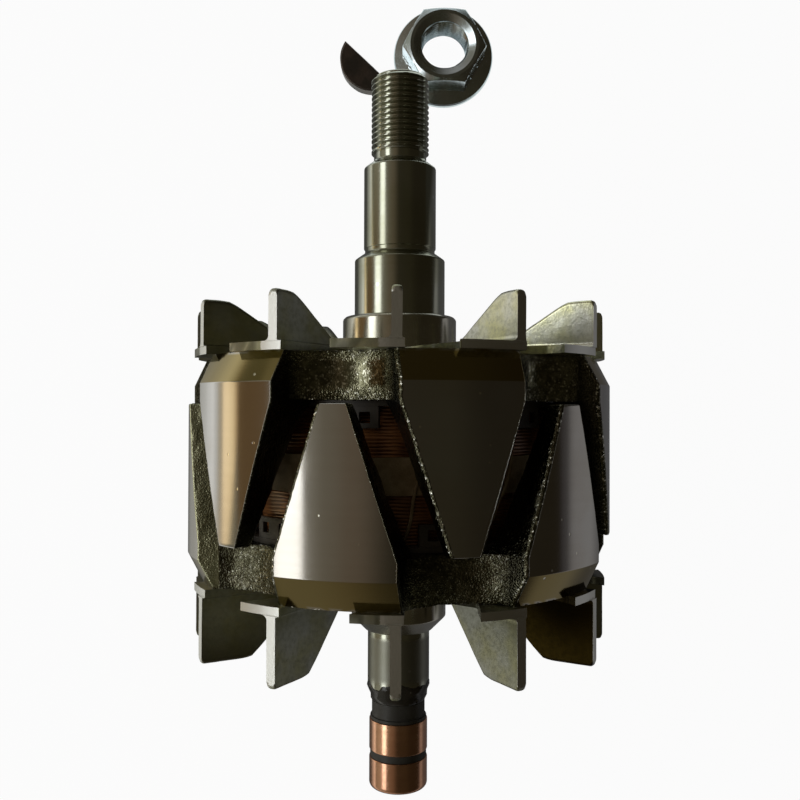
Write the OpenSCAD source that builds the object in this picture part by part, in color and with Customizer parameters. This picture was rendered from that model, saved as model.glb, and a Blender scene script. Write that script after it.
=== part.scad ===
// Claw-pole alternator rotor, lying on its poles, with its pulley nut and key beside it.
// The shaft runs along +Y with the threaded drive end towards +Y. +Z is up.
// The origin is on the shaft axis, at the shoulder that the drive-end bearing seats against.

/* [Shaft] */
// Diameter of the threaded end, over the crests
thread_d = 16; // [12:0.5:20]
// Length of the threaded end
thread_len = 21.4; // [14:0.2:40]
// Bevel at the tip of the threaded end
thread_bevel = 1.2; // [0.4:0.1:2]
// Depth of the runout groove below the thread crests
thread_relief_depth = 0.7; // [0.2:0.1:1.5]
// Width of the runout groove below the thread
thread_relief_w = 2.3; // [0.5:0.1:4]
// Diameter of the seat that carries the pulley
pulley_seat_d = 20; // [16:0.5:24.5]
// Length of the pulley seat
pulley_seat_len = 22.4; // [15:0.2:40]
// Width of the grinding groove between the pulley seat and the bearing seat
seat_groove_w = 1.2; // [0.4:0.1:3]
// Depth of that grinding groove
seat_groove_depth = 0.3; // [0.1:0.1:1]
// Diameter of the drive-end bearing seat
bearing_seat_d = 25; // [22.5:0.5:30]
// Length of the drive-end bearing seat
bearing_seat_len = 15.7; // [10:0.1:25]
// Length of the bevel at each step of the shaft
step_bevel_len = 2; // [0.5:0.1:3]
// Diameter of the shaft where the poles, core and fans are pressed on
press_d = 22; // [19:0.5:22.5]
// Diameter of the slip-ring-end bearing seat
rear_seat_d = 17; // [13:0.5:19]
// Length of the slip-ring-end bearing seat
rear_seat_len = 15.7; // [8:0.1:25]
// Diameter of the shaft under the slip-ring-end collar
rear_shoulder_d = 17.6; // [15:0.1:20]
// Diameter of the tail inside the slip rings
tail_d = 9; // [6:0.5:11]

/* [Key] */
// Width of the half-moon key
key_w = 5; // [3:0.5:6]
// Diameter of the half-moon key
key_d = 22; // [16:0.5:22]
// Height of the half-moon key
key_h = 9; // [6:0.1:10]
// How far the fitted key stands out of the shaft
key_proud = 2.4; // [1:0.1:3]

/* [Collars] */
// Outer diameter of the drive-end collar
drive_collar_d = 31.4; // [28:0.2:40]
// Length of the drive-end collar
drive_collar_len = 10; // [6:0.2:16]
// Bevel at the outer end of the drive-end collar
drive_collar_bevel = 0.8; // [0.3:0.1:2]
// Outer diameter of the slip-ring-end collar
rear_collar_d = 26; // [22:0.5:34]
// Length of the slip-ring-end collar
rear_collar_len = 13.9; // [11:0.1:22]
// Wall left at the small end of the slip-ring-end collar
rear_collar_lip = 0.4; // [0.3:0.1:2]

/* [Poles] */
// Outer diameter over the claws
pole_d = 114; // [100:0.5:130]
// Distance between the outer faces of the two poles
pole_stack = 58; // [50:0.5:70]
// Number of claws on each pole
claw_count = 6; // [4:1:8]
// Length of each claw, from the back of its pole
claw_len = 45.8; // [38:0.2:49]
// Width of each claw at its root
claw_root_w = 29.4; // [20:0.2:32]
// Width of each claw at its tip
claw_tip_w = 7.2; // [4:0.1:14]
// Thickness of each claw at its tip
claw_tip_t = 5; // [3:0.1:8]
// Thickness of each pole's plate
plate_t = 11.4; // [8:0.1:15]
// Diameter of each plate at the bottom of the valleys between its claws
valley_d = 91; // [86:0.5:98]
// Radius of the hollow of each valley
valley_hollow_r = 17; // [14:0.5:18]
// Length of the turned bevel behind each claw
pole_bevel_len = 7.2; // [2:0.1:10]
// Depth of the turned bevel behind each claw
pole_bevel_depth = 3.7; // [1:0.1:6]
// Step from the valleys out to the inside of each claw at its root
claw_root_step = 0.5; // [0.2:0.1:2]

/* [Field winding] */
// Diameter of the core between the poles
core_d = 54; // [44:0.5:60]
// Wall of the tube that the coil is wound on
bobbin_wall = 1.5; // [0.8:0.1:3]
// Thickness of each insulator beside the coil
insulator_t = 1.3; // [0.8:0.1:2.5]
// How far each insulator's rim lies inside the valleys
insulator_inset = 2; // [1:0.1:4]
// Outer diameter of the coil
coil_d = 84; // [70:0.5:86]
// How far the coil's sides are drawn in below the insulators' tabs
coil_shoulder = 3.3; // [1:0.1:6]
// Width of the binding around the coil
binding_w = 9; // [4:0.5:20]
// Thickness of the binding around the coil
binding_t = 0.6; // [0.3:0.1:1]
// Width of each insulator tab in a valley
tab_w = 13; // [8:0.5:18]
// Height of each insulator tab
tab_h = 6.5; // [4:0.1:9]
// Size of the square window in each half of a tab
tab_window = 2.6; // [1.5:0.1:3.5]
// Wall left between each window and the free edge of its tab
tab_window_edge = 1.2; // [0.6:0.1:2]
// Diameter of each sleeved coil lead
lead_d = 2.6; // [1.5:0.1:3.5]
// Turn of each lead away from the middle of its valley
lead_turn = 10.5; // [9:0.5:12]

/* [Fans] */
// Number of blades on each fan
blade_count = 12; // [8:1:12]
// Thickness of the fan sheet
fan_t = 2; // [1:0.1:2.5]
// Outer diameter of both fans
fan_d = 112.2; // [96:0.2:118]
// How far each blade's outer edge stands out past its disc
blade_overhang = 0.5; // [0.2:0.1:2]
// Width of the shoulder left beside the foot of each blade
blade_shoulder = 1.3; // [0.5:0.1:2]
// Height of the drive-end blades above their disc
drive_blade_h = 11.7; // [8:0.1:16]
// Length of the drive-end blades' level tops, in from the outer edge
drive_blade_top = 7.1; // [4:0.1:14]
// Radius where the drive-end blades meet their disc
drive_blade_foot_r = 27; // [22:0.5:36]
// Height of the slip-ring-end blades above their disc
rear_blade_h = 16.4; // [8:0.1:18]
// Length of the slip-ring-end blades' level tops, in from the outer edge
rear_blade_top = 13.1; // [6:0.1:18]
// Radius where the slip-ring-end blades meet their disc
rear_blade_foot_r = 25; // [22:0.5:34]
// Corner radius of the blades
blade_corner_r = 1; // [0.5:0.1:4]

/* [Slip rings] */
// Outer diameter of the slip rings
ring_d = 16; // [13:0.5:18]
// Width of each slip ring
ring_w = 8.4; // [5:0.1:12]
// Wall of each slip ring
ring_wall = 1.6; // [0.8:0.1:2]
// Insulating gap between the slip rings
ring_gap = 2; // [1.5:0.1:5]
// Diameter of the moulded sleeve beside the rings
sleeve_d = 15.5; // [13:0.1:17]
// Diameter of the sleeve's neck
sleeve_neck_d = 14.6; // [12:0.1:16]
// Length of sleeve between the bearing seat and the first ring
sleeve_neck = 8.8; // [6:0.1:12]
// Length of the sleeve's flange beside the first ring
sleeve_flange = 0.9; // [0.4:0.1:1.8]
// Length of the resin that seals the sleeve to the shaft
resin_len = 3.8; // [1:0.1:4]
// How far the resin bulges out past the sleeve's neck
resin_bulge = 0.4; // [0.1:0.1:1]
// How far the resin stays below the bearing seat
resin_inset = 0.2; // [0.1:0.1:1]
// How far the sleeve stops short of the last ring's end
sleeve_inset = 0.6; // [0.2:0.1:2]
// Radius of the round at the outer end of the last ring
ring_round = 1.4; // [0.2:0.1:1.5]

/* [Pulley nut] */
// Width of the nut across its flats
nut_flats = 24; // [20:0.5:27]
// Diameter of the nut's flange
nut_flange_d = 33.6; // [30:0.2:38]
// Thickness of the flange at its rim
nut_flange_t = 2.4; // [1.5:0.1:4]
// How far the flange's cone climbs from its rim to the flats
nut_flange_rise = 1.6; // [0.5:0.1:3]
// Height of the nut
nut_h = 13.6; // [11:0.2:20]
// Diameter of the nut's top face, where its corners are bevelled off
nut_top_d = 22.6; // [20:0.2:24]
// Slope of that bevel below the level
nut_bevel_slope = 35; // [15:1:60]
// Diameter of the countersunk mouth of the nut
nut_mouth_d = 20.4; // [20.2:0.1:22]
// Slope of the countersunk mouth below the level
nut_mouth_slope = 30; // [20:1:60]
// How far the nut lies to the right of the shaft axis
nut_x = 14.5; // [10:0.1:40]
// How far beyond the thread's tip the nut's middle lies
nut_beyond = 27.6; // [20:0.2:60]

/* [Loose key] */
// How far the key's straight edge lies to the left of the shaft axis
key_x = -10.8; // [-40:0.2:-8]
// How far beyond the thread's tip the key's middle lies
key_beyond = 24.6; // [18:0.2:60]
// Turn of the key on the floor
key_turn = -43; // [-90:1:90]

/* [Hidden] */
// Clearance between pieces that slide or press over one another
fit_gap = 0.04;
// Overshoot of a cutting shape past the face that it cuts
cut = 1;
// Clearance between a coil lead and what it passes
lead_gap = 0.3;
// Clearance of an insulator's tabs inside its rim
tab_inset = 0.3;
// How far each claw's outline is carried in below the valleys
claw_bury = 4;
// Facets of round pieces
$fn = 96;

// Places along the shaft, measured towards the drive end from the bearing shoulder
pulley_groove_z = bearing_seat_len + step_bevel_len;
pulley_seat_z = pulley_groove_z + seat_groove_w;
pulley_seat_top = pulley_seat_z + pulley_seat_len;
thread_z = pulley_seat_top + step_bevel_len + thread_relief_w;
shaft_top = thread_z + thread_len;
drive_fan_top = -drive_collar_len;
drive_back = drive_fan_top - fan_t;
rear_back = drive_back - pole_stack;
rear_fan_end = rear_back - fan_t;
rear_seat_top = rear_fan_end - rear_collar_len;
sleeve_top = rear_seat_top - rear_seat_len;
ring_1_top = sleeve_top - sleeve_neck;
ring_2_top = ring_1_top - ring_w - ring_gap;
ring_end = ring_2_top - ring_w;
sleeve_end = ring_end + sleeve_inset;

// Radii and the space inside the poles
pole_r = pole_d / 2;
valley_r = valley_d / 2;
press_r = press_d / 2;
claw_start_r = valley_r - claw_bury;
claw_root_r = valley_r + claw_root_step;
drive_plate = drive_back - plate_t;
rear_plate = rear_back + plate_t;
coil_top = drive_plate - insulator_t;
coil_end = rear_plate + insulator_t;
tube_r = core_d / 2 + fit_gap + bobbin_wall;
coil_r = coil_d / 2;
insulator_r = valley_r - insulator_inset;
binding_z = (coil_top + coil_end) / 2;
claw_pitch = 360 / claw_count;
blade_pitch = 360 / blade_count;
drive_claw_turn = claw_pitch / 4;
rear_claw_turn = -claw_pitch / 4;
hollow_c = valley_r + valley_hollow_r;
lead_room = valley_hollow_r - lead_d / 2 - lead_gap;
lead_r = hollow_c * cos(lead_turn) - sqrt(pow(lead_room, 2) - pow(hollow_c * sin(lead_turn), 2));
lead_turn_z = rear_fan_end - lead_d / 2 - lead_gap;
lead_coil_z = rear_plate + tab_h + lead_d / 2 + lead_gap;
rear_valley_turn = rear_claw_turn + claw_pitch / 2;
lead_angles = [for (i = [2, 4]) i * claw_pitch + rear_valley_turn - lead_turn];
key_r = key_d / 2;
key_seat_z = (pulley_seat_z + pulley_seat_top) / 2;
floor_z = -pole_r;

// Lays a shape that was built about a vertical axis down along +Y, with its front (-Y) facing up
module laid_down() {
  rotate([-90, 0, 0]) children();
}

// A straight tube between two heights
module ring(outer_r, inner_r, low, high) {
  translate([0, 0, low]) difference() {
    cylinder(r = outer_r, h = high - low);
    translate([0, 0, -cut]) cylinder(r = inner_r, h = high - low + 2 * cut);
  }
}

// Repeats a shape around the axis
module around(count) {
  for (i = [0 : count - 1])
    rotate([0, 0, i * 360 / count]) children();
}

// Points of a circular arc, from one angle to another
function arc(centre, r, from, to, steps = 6) =
  [for (i = [0 : steps]) centre + r * [cos(from + (to - from) * i / steps),
                                       sin(from + (to - from) * i / steps)]];

// The half-moon disc of the key, with its flat on the X axis and its bow towards -Y
module half_moon(r, height, width) {
  translate([0, 0, -width / 2]) intersection() {
    translate([0, r - height, 0]) cylinder(r = r, h = width);
    translate([-2 * r, -4 * r, -cut]) cube([4 * r, 4 * r, width + 2 * cut]);
  }
}

// Turned shaft: threaded end, pulley seat, bearing seat, press fit, rear seat and tail
module shaft() {
  relief_r = thread_d / 2 - thread_relief_depth;
  groove_r = pulley_seat_d / 2 - seat_groove_depth;
  profile = [
    [0, sleeve_end], [tail_d / 2, sleeve_end], [tail_d / 2, sleeve_top],
    [rear_seat_d / 2, sleeve_top], [rear_seat_d / 2, rear_seat_top],
    [rear_shoulder_d / 2, rear_seat_top], [rear_shoulder_d / 2, rear_fan_end], [press_r, rear_fan_end],
    [press_r, 0], [bearing_seat_d / 2, 0], [bearing_seat_d / 2, bearing_seat_len],
    [groove_r, pulley_groove_z], [groove_r, pulley_seat_z], [pulley_seat_d / 2, pulley_seat_z],
    [pulley_seat_d / 2, pulley_seat_top], [relief_r, pulley_seat_top + step_bevel_len],
    [relief_r, thread_z], [thread_d / 2, thread_z], [thread_d / 2, shaft_top - thread_bevel],
    [thread_d / 2 - thread_bevel, shaft_top], [0, shaft_top]
  ];
  color("dimgray") laid_down() difference() {
    rotate_extrude() polygon(profile);
    translate([0, pulley_seat_d / 2 + key_proud, key_seat_z]) rotate([0, 90, 0])
      half_moon(key_r, key_h, key_w + 2 * fit_gap);
  }
}

// Spacer between the bearing and the drive-end fan
module drive_end_collar() {
  outer_r = drive_collar_d / 2;
  color("gray") laid_down() rotate_extrude() polygon([
    [press_r + fit_gap, drive_fan_top], [outer_r, drive_fan_top],
    [outer_r, -drive_collar_bevel], [outer_r - drive_collar_bevel, 0], [press_r + fit_gap, 0]
  ]);
}

// A blade's outline: radius along X, height along Y, with its outer top corner rounded
function blade_outline(height, flat_r, foot_r) = concat(
  [[foot_r, 0], [fan_d / 2, 0]],
  arc([fan_d / 2 - blade_corner_r, height - blade_corner_r], blade_corner_r, 0, 90),
  [[flat_r, height]]
);

// One blade: the flap of sheet that was turned up along a radius, standing on the disc
module blade(height, flat_r, foot_r) {
  rotate([0, 0, -90]) rotate([90, 0, 0]) linear_extrude(fan_t)
    polygon(blade_outline(height, flat_r, foot_r));
}

// Pressed fan: a disc with one flap beside each blade cut free and turned up
module fan(blade_h, flat_r, foot_r) {
  height = blade_h + fan_t;
  linear_extrude(fan_t) difference() {
    circle(r = fan_d / 2 - blade_overhang);
    circle(r = press_r + fit_gap);
    around(blade_count) polygon([
      [blade_shoulder, -foot_r], [height, -flat_r], [height, -fan_d], [blade_shoulder, -fan_d]
    ]);
  }
  around(blade_count) blade(height, flat_r, foot_r);
}

// Fan behind the drive-end bearing
module drive_end_fan() {
  color("darkkhaki") laid_down() translate([0, 0, drive_back])
    fan(drive_blade_h, fan_d / 2 - drive_blade_top, drive_blade_foot_r);
}

// Fan behind the slip-ring-end bearing
module slip_ring_end_fan() {
  color("darkkhaki") laid_down() translate([0, 0, rear_back]) mirror([0, 0, 1])
    fan(rear_blade_h, fan_d / 2 - rear_blade_top, rear_blade_foot_r);
}

// Half the width of a claw at a height beyond its plate, on its straight taper
function claw_half_w(z) =
  (claw_root_w + (claw_tip_w - claw_root_w) * (z - plate_t) / (claw_len - plate_t)) / 2;

// The outline of one claw seen from outside, carried in to the plate
module claw_prism() {
  root = claw_root_w / 2;
  past_tip = claw_half_w(claw_len + cut);
  translate([0, -claw_start_r, 0]) rotate([90, 0, 0]) linear_extrude(pole_r - claw_start_r + cut)
    polygon([
      [-root, -cut], [root, -cut], [root, plate_t], [past_tip, claw_len + cut],
      [-past_tip, claw_len + cut], [-root, plate_t]
    ]);
}

// The plate of a pole, before it is turned and bored: a disc with a hollow valley between each two claws
module pole_plate() {
  difference() {
    translate([0, 0, -cut]) cylinder(r = pole_r + cut, h = plate_t + cut);
    rotate([0, 0, claw_pitch / 2]) around(claw_count)
      translate([0, -hollow_c, -2 * cut])
        cylinder(r = valley_hollow_r, h = plate_t + 4 * cut);
  }
}

// A forged pole: a plate with claws that reach forward, turned on the outside and bored
module claw_pole() {
  bore_r = press_r + fit_gap;
  intersection() {
    rotate_extrude() polygon([
      [bore_r, 0], [pole_r - pole_bevel_depth, 0], [pole_r, pole_bevel_len], [pole_r, claw_len],
      [pole_r - claw_tip_t, claw_len], [claw_root_r, plate_t], [bore_r, plate_t]
    ]);
    union() {
      pole_plate();
      around(claw_count) claw_prism();
    }
  }
}

// Pole at the drive end, its claws reaching towards the slip rings
module drive_end_claw_pole() {
  color("darkolivegreen") laid_down() translate([0, 0, drive_back]) mirror([0, 0, 1])
    rotate([0, 0, drive_claw_turn]) claw_pole();
}

// Pole at the slip-ring end, its claws reaching towards the drive end
module slip_ring_end_claw_pole() {
  color("darkolivegreen") laid_down() translate([0, 0, rear_back])
    rotate([0, 0, rear_claw_turn]) claw_pole();
}

// Core that joins the two poles inside the coil
module pole_core() {
  color("slategray") laid_down() ring(core_d / 2, press_r + fit_gap, rear_plate, drive_plate);
}

// Tube that the coil is wound on
module coil_bobbin() {
  color("black") laid_down() ring(tube_r, core_d / 2 + fit_gap, coil_end, coil_top);
}

// Insulating washer beside the coil, with a windowed tab standing in each valley
module insulator() {
  tab_r = insulator_r - tab_inset;
  window_x = tab_w / 4;
  ring(insulator_r, core_d / 2 + fit_gap, 0, insulator_t);
  around(claw_count) difference() {
    intersection() {
      ring(tab_r, tab_r - insulator_t, 0, tab_h);
      translate([-tab_w / 2, -pole_r, 0]) cube([tab_w, pole_r, tab_h]);
    }
    for (side = [-1, 1])
      translate([side * window_x - tab_window / 2, -pole_r, tab_h - tab_window - tab_window_edge])
        cube([tab_window, pole_r, tab_window]);
  }
}

// Insulator against the drive-end pole
module drive_end_insulator() {
  color("dimgray") laid_down() translate([0, 0, drive_plate]) mirror([0, 0, 1])
    rotate([0, 0, drive_claw_turn + claw_pitch / 2]) insulator();
}

// Insulator against the slip-ring-end pole
module slip_ring_end_insulator() {
  color("dimgray") laid_down() translate([0, 0, rear_plate])
    rotate([0, 0, rear_valley_turn]) insulator();
}

// Field coil, crowned like a winding that bulges in its middle
module field_coil() {
  side_r = insulator_r - insulator_t - coil_shoulder;
  color("peru") laid_down() rotate_extrude() polygon([
    [tube_r, coil_end], [side_r, coil_end], [coil_r, coil_end + tab_h],
    [coil_r, coil_top - tab_h], [side_r, coil_top], [tube_r, coil_top]
  ]);
}

// Tape bound round the middle of the coil
module coil_binding() {
  inner_r = coil_r + fit_gap;
  color("tan") laid_down()
    ring(inner_r + binding_t, inner_r, binding_z - binding_w / 2, binding_z + binding_w / 2);
}

// Collar at the slip-ring end, coned down to the bearing seat, drilled for the coil leads
module slip_ring_end_collar() {
  inner_r = rear_shoulder_d / 2 + fit_gap;
  lip_r = inner_r + rear_collar_lip;
  cone_len = rear_collar_d / 2 - lip_r;
  color("darkslategray") laid_down() difference() {
    rotate_extrude() polygon([
      [inner_r, rear_seat_top], [lip_r, rear_seat_top], [rear_collar_d / 2, rear_seat_top + cone_len],
      [rear_collar_d / 2, rear_fan_end], [inner_r, rear_fan_end]
    ]);
    for (angle = lead_angles)
      rotate([0, 0, angle]) translate([0, 0, lead_turn_z]) rotate([90, 0, 0])
        cylinder(d = lead_d + 2 * fit_gap, h = rear_collar_d, $fn = 32);
  }
}

// A sleeved lead from the coil, through a valley and a fan opening, into the collar
module coil_lead(angle) {
  color("saddlebrown") laid_down() rotate([0, 0, angle]) {
    translate([0, -lead_r, lead_turn_z]) cylinder(d = lead_d, h = lead_coil_z - lead_turn_z, $fn = 32);
    for (z = [lead_turn_z, lead_coil_z])
      translate([0, -lead_r, z]) sphere(d = lead_d, $fn = 32);
    translate([0, -lead_r, lead_turn_z]) rotate([-90, 0, 0])
      cylinder(d = lead_d, h = lead_r - rear_shoulder_d / 2 - 2 * fit_gap, $fn = 32);
    translate([0, -lead_r, lead_coil_z]) rotate([-90, 0, 0])
      cylinder(d = lead_d, h = lead_r - coil_r - lead_gap, $fn = 32);
  }
}

// Lead from the start of the winding
module start_lead() {
  coil_lead(lead_angles[0]);
}

// Lead from the end of the winding
module finish_lead() {
  coil_lead(lead_angles[1]);
}

// Resin that seals the moulded sleeve against the bearing seat
module resin_bead() {
  neck_r = tail_d / 2 + fit_gap;
  color("black") laid_down() rotate_extrude() polygon([
    [neck_r, sleeve_top - resin_len], [sleeve_neck_d / 2 + resin_bulge, sleeve_top - resin_len],
    [rear_seat_d / 2 - resin_inset, sleeve_top], [neck_r, sleeve_top]
  ]);
}

// Moulded sleeve that insulates the slip rings from the tail
module slip_ring_sleeve() {
  seat_r = ring_d / 2 - ring_wall - fit_gap;
  neck_r = tail_d / 2 + fit_gap;
  start = sleeve_top - resin_len;
  color("black") laid_down() rotate_extrude() polygon([
    [neck_r, sleeve_end], [seat_r, sleeve_end], [seat_r, ring_2_top], [sleeve_d / 2, ring_2_top],
    [sleeve_d / 2, ring_1_top - ring_w], [seat_r, ring_1_top - ring_w], [seat_r, ring_1_top],
    [sleeve_d / 2, ring_1_top], [sleeve_d / 2, ring_1_top + sleeve_flange],
    [sleeve_neck_d / 2, ring_1_top + sleeve_flange], [sleeve_neck_d / 2, start], [neck_r, start]
  ]);
}

// Slip ring nearer the bearing
module inner_slip_ring() {
  color("chocolate") laid_down() ring(ring_d / 2, ring_d / 2 - ring_wall, ring_1_top - ring_w, ring_1_top);
}

// Slip ring at the end of the shaft, rounded over the wall that it has
module outer_slip_ring() {
  inner_r = ring_d / 2 - ring_wall;
  round_r = min(ring_round, ring_wall - fit_gap);
  color("chocolate") laid_down() rotate_extrude() polygon(concat(
    [[inner_r, ring_end]],
    arc([ring_d / 2 - round_r, ring_end + round_r], round_r, -90, 0),
    [[ring_d / 2, ring_2_top], [inner_r, ring_2_top]]
  ));
}

// Flanged nut that holds the pulley, lying on its flange
module pulley_nut() {
  corner_r = nut_flats / sqrt(3);
  top_r = nut_top_d / 2;
  bevel_h = (corner_r - top_r) * tan(nut_bevel_slope);
  mouth_h = (nut_mouth_d - thread_d) / 2 * tan(nut_mouth_slope);
  mouth_past = 2 * cut / tan(nut_mouth_slope);
  color("lightsteelblue") translate([nut_x, shaft_top + nut_beyond, floor_z]) difference() {
    union() {
      cylinder(d = nut_flange_d, h = nut_flange_t);
      translate([0, 0, nut_flange_t]) cylinder(d1 = nut_flange_d, d2 = nut_flats, h = nut_flange_rise);
      intersection() {
        cylinder(r = corner_r, h = nut_h, $fn = 6);
        rotate_extrude() polygon([
          [0, 0], [corner_r, 0], [corner_r, nut_h - bevel_h], [top_r, nut_h], [0, nut_h]
        ]);
      }
    }
    translate([0, 0, -cut]) cylinder(d = thread_d, h = nut_h + 2 * cut);
    translate([0, 0, nut_h - mouth_h])
      cylinder(d1 = thread_d, d2 = nut_mouth_d + mouth_past, h = mouth_h + cut);
  }
}

// Half-moon key for the pulley, lying flat
module pulley_key() {
  color("dimgray") translate([key_x, shaft_top + key_beyond, floor_z + key_w / 2])
    rotate([0, 0, key_turn]) half_moon(key_r, key_h, key_w);
}

shaft();
drive_end_collar();
drive_end_fan();
drive_end_claw_pole();
pole_core();
coil_bobbin();
drive_end_insulator();
slip_ring_end_insulator();
field_coil();
coil_binding();
slip_ring_end_claw_pole();
slip_ring_end_fan();
slip_ring_end_collar();
start_lead();
finish_lead();
resin_bead();
slip_ring_sleeve();
inner_slip_ring();
outer_slip_ring();
pulley_nut();
pulley_key();
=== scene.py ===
"""Dressed alternator rotor, seen from above as it lies on a pale floor with its nut and key beside it."""

import bmesh
import bpy
import numpy as np
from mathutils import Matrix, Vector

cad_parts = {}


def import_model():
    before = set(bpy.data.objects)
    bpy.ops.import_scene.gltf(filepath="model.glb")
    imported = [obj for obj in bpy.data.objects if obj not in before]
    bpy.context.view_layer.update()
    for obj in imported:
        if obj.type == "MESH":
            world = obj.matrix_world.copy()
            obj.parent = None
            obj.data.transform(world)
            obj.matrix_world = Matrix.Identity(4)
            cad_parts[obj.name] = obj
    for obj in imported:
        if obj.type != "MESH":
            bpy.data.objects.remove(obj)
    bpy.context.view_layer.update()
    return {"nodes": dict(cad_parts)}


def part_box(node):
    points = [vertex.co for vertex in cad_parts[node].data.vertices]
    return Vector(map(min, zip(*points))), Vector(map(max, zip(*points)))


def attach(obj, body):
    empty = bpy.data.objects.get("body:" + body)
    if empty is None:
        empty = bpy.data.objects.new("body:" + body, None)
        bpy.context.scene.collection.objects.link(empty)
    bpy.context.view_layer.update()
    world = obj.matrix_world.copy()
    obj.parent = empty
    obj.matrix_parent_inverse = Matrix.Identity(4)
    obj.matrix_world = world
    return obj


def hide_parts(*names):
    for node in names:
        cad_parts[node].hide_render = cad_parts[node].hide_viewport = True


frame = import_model()

# Lengths below are millimetres, angles are radians unless a name says degrees
MM = 0.001


def span(node):
    """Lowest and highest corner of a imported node, in millimetres."""
    low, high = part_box(node)
    return np.array(low) / MM, np.array(high) / MM


def ends_of(node):
    """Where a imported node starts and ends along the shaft, in millimetres."""
    low, high = span(node)
    return low[1], high[1]


# Places along the shaft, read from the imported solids
SHAFT_END, SHAFT_TOP = ends_of("shaft")
DRIVE_BACK = ends_of("drive_end_claw_pole")[1]
REAR_BACK = ends_of("slip_ring_end_claw_pole")[0]
DRIVE_FAN_BACK = ends_of("drive_end_fan")[0]
REAR_FAN_BACK = ends_of("slip_ring_end_fan")[1]
COLLAR_LOW, COLLAR_HIGH = ends_of("drive_end_collar")
REAR_COLLAR_LOW, REAR_COLLAR_HIGH = ends_of("slip_ring_end_collar")
COIL_LOW, COIL_HIGH = ends_of("field_coil")
RESIN_LOW, RESIN_HIGH = ends_of("resin_bead")
SLEEVE_LOW, SLEEVE_HIGH = ends_of("slip_ring_sleeve")
INNER_RING, OUTER_RING = ends_of("inner_slip_ring"), ends_of("outer_slip_ring")
FLOOR = span("pulley_nut")[0][2]

# Radii and sizes of the turned pieces
THREAD_R, THREAD_DEPTH, THREAD_PITCH, THREAD_LEN = 8.0, 0.92, 1.5, 21.4
NECK_R, SEAT_R, GROOVE_R, BEARING_R, PRESS_R = 7.3, 10.0, 9.7, 12.5, 11.0
SEAT_LOW, SEAT_HIGH, BEARING_HIGH = 18.9, 41.3, 15.7
STEP_BEVEL = 2.0
REAR_SHOULDER_R, REAR_SEAT_R, TAIL_R = 8.8, 8.5, 4.5
COLLAR_R, REAR_COLLAR_R = 15.7, 13.0
RING_R, RING_WALL, RING_ROUND = 8.0, 1.6, 1.4
SLEEVE_R, SLEEVE_NECK_R, SLEEVE_FLANGE = 7.75, 7.3, 0.9
KEY_W, KEY_R, KEY_H, KEY_PROUD = 5.0, 11.0, 9.0, 2.4
FIT = 0.04

# Sizes of the nut, places of the loose key and sizes of the leads
NUT_FLATS, NUT_FLANGE_T, NUT_TOP_R, NUT_MOUTH_R, NUT_THREAD_DEPTH = 24.0, 2.4, 11.3, 10.2, 0.55
KEY_ACROSS, KEY_PAST_SHAFT, KEY_BEVEL, KEY_TURN = -10.8, 24.6, 0.45, np.radians(43)
LEAD_R, LEAD_CLEAR, LEAD_BEND, LEAD_ASIDE = 1.25, 1.6, 2.4, np.radians(10.5)
LEADS = (("sleeved_start_lead", "start_lead", 124.5), ("sleeved_finish_lead", "finish_lead", 244.5))

# Sizes of the poles
CLAWS = 6
POLE_R, POLE_BEVEL, POLE_BEVEL_LEN = 57.0, 3.7, 7.2
VALLEY_R, HOLLOW_R, PLATE_T, BORE_R = 45.5, 17.0, 11.4, 11.04
CLAW_LEN, ROOT_HALF_W, TIP_HALF_W, TIP_T, CLAW_ROOT_R = 45.8, 14.7, 3.6, 5.0, 46.0
INNER_BLEND, EDGE_BREAK, TIP_ROUND = 1.3, 0.95, 0.4
FORGE_DENT, FORGE_DENT_SIZE, FORGE_PIT, FORGE_PIT_SIZE = 0.26, 4.5, 0.13, 1.3
CLAW_PITCH = 2 * np.pi / CLAWS

# Sizes of the fans
BLADES = 12
FAN_R, SHEET_T, OVERHANG, SHOULDER = 56.1, 2.0, 0.5, 1.3
DRIVE_BLADE = dict(height=13.7, flat_r=49.0, foot_r=27.0)
REAR_BLADE = dict(height=18.4, flat_r=43.0, foot_r=25.0)
# The rear blade painted near black, as the shadow that its neighbour casts on it
SHADOWED_BLADE = 2

# Sizes of the winding
COIL_R, COIL_SIDE_R, TUBE_R, WIRE_PITCH = 42.0, 38.9, 28.54, 0.86


def smooth(low, high, value):
    """S-shaped step from 0 at low to 1 at high."""
    t = np.clip((value - low) / (high - low), 0, 1)
    return t * t * (3 - 2 * t)


def spread(start, stop, count):
    """count values from start to stop, even, along a new last axis."""
    return shares(start, stop, np.linspace(0, 1, count))


def shares(start, stop, share):
    """Values at the given shares of the way from start to stop, along a new last axis."""
    start, stop = np.broadcast_arrays(np.asarray(start, float), np.asarray(stop, float))
    return start[..., None] + (stop - start)[..., None] * share


def columns(*parts):
    """Values along the columns of a grid: for each part a count and a value, or a count and the ends of an
    even run."""
    return np.concatenate([np.linspace(part[1], part[-1], part[0]) for part in parts])


def polar(radius, angle):
    """Across and up for a radius and an angle that is measured from straight up."""
    return np.stack(np.broadcast_arrays(radius * np.sin(angle), radius * np.cos(angle)), -1)


def hashed(cell, seed):
    """A fixed pseudo-random value from -1 to 1 for each whole-number cell, by mixing its three indices."""
    h = cell[..., 0] * 73856093 ^ cell[..., 1] * 19349663 ^ cell[..., 2] * 83492791 ^ seed * 2654435761
    h = (h ^ (h >> 13)) * 1274126177 & 0x7FFFFFFF
    h = (h ^ (h >> 11)) & 0xFFFF
    return h / 32767.5 - 1


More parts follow.
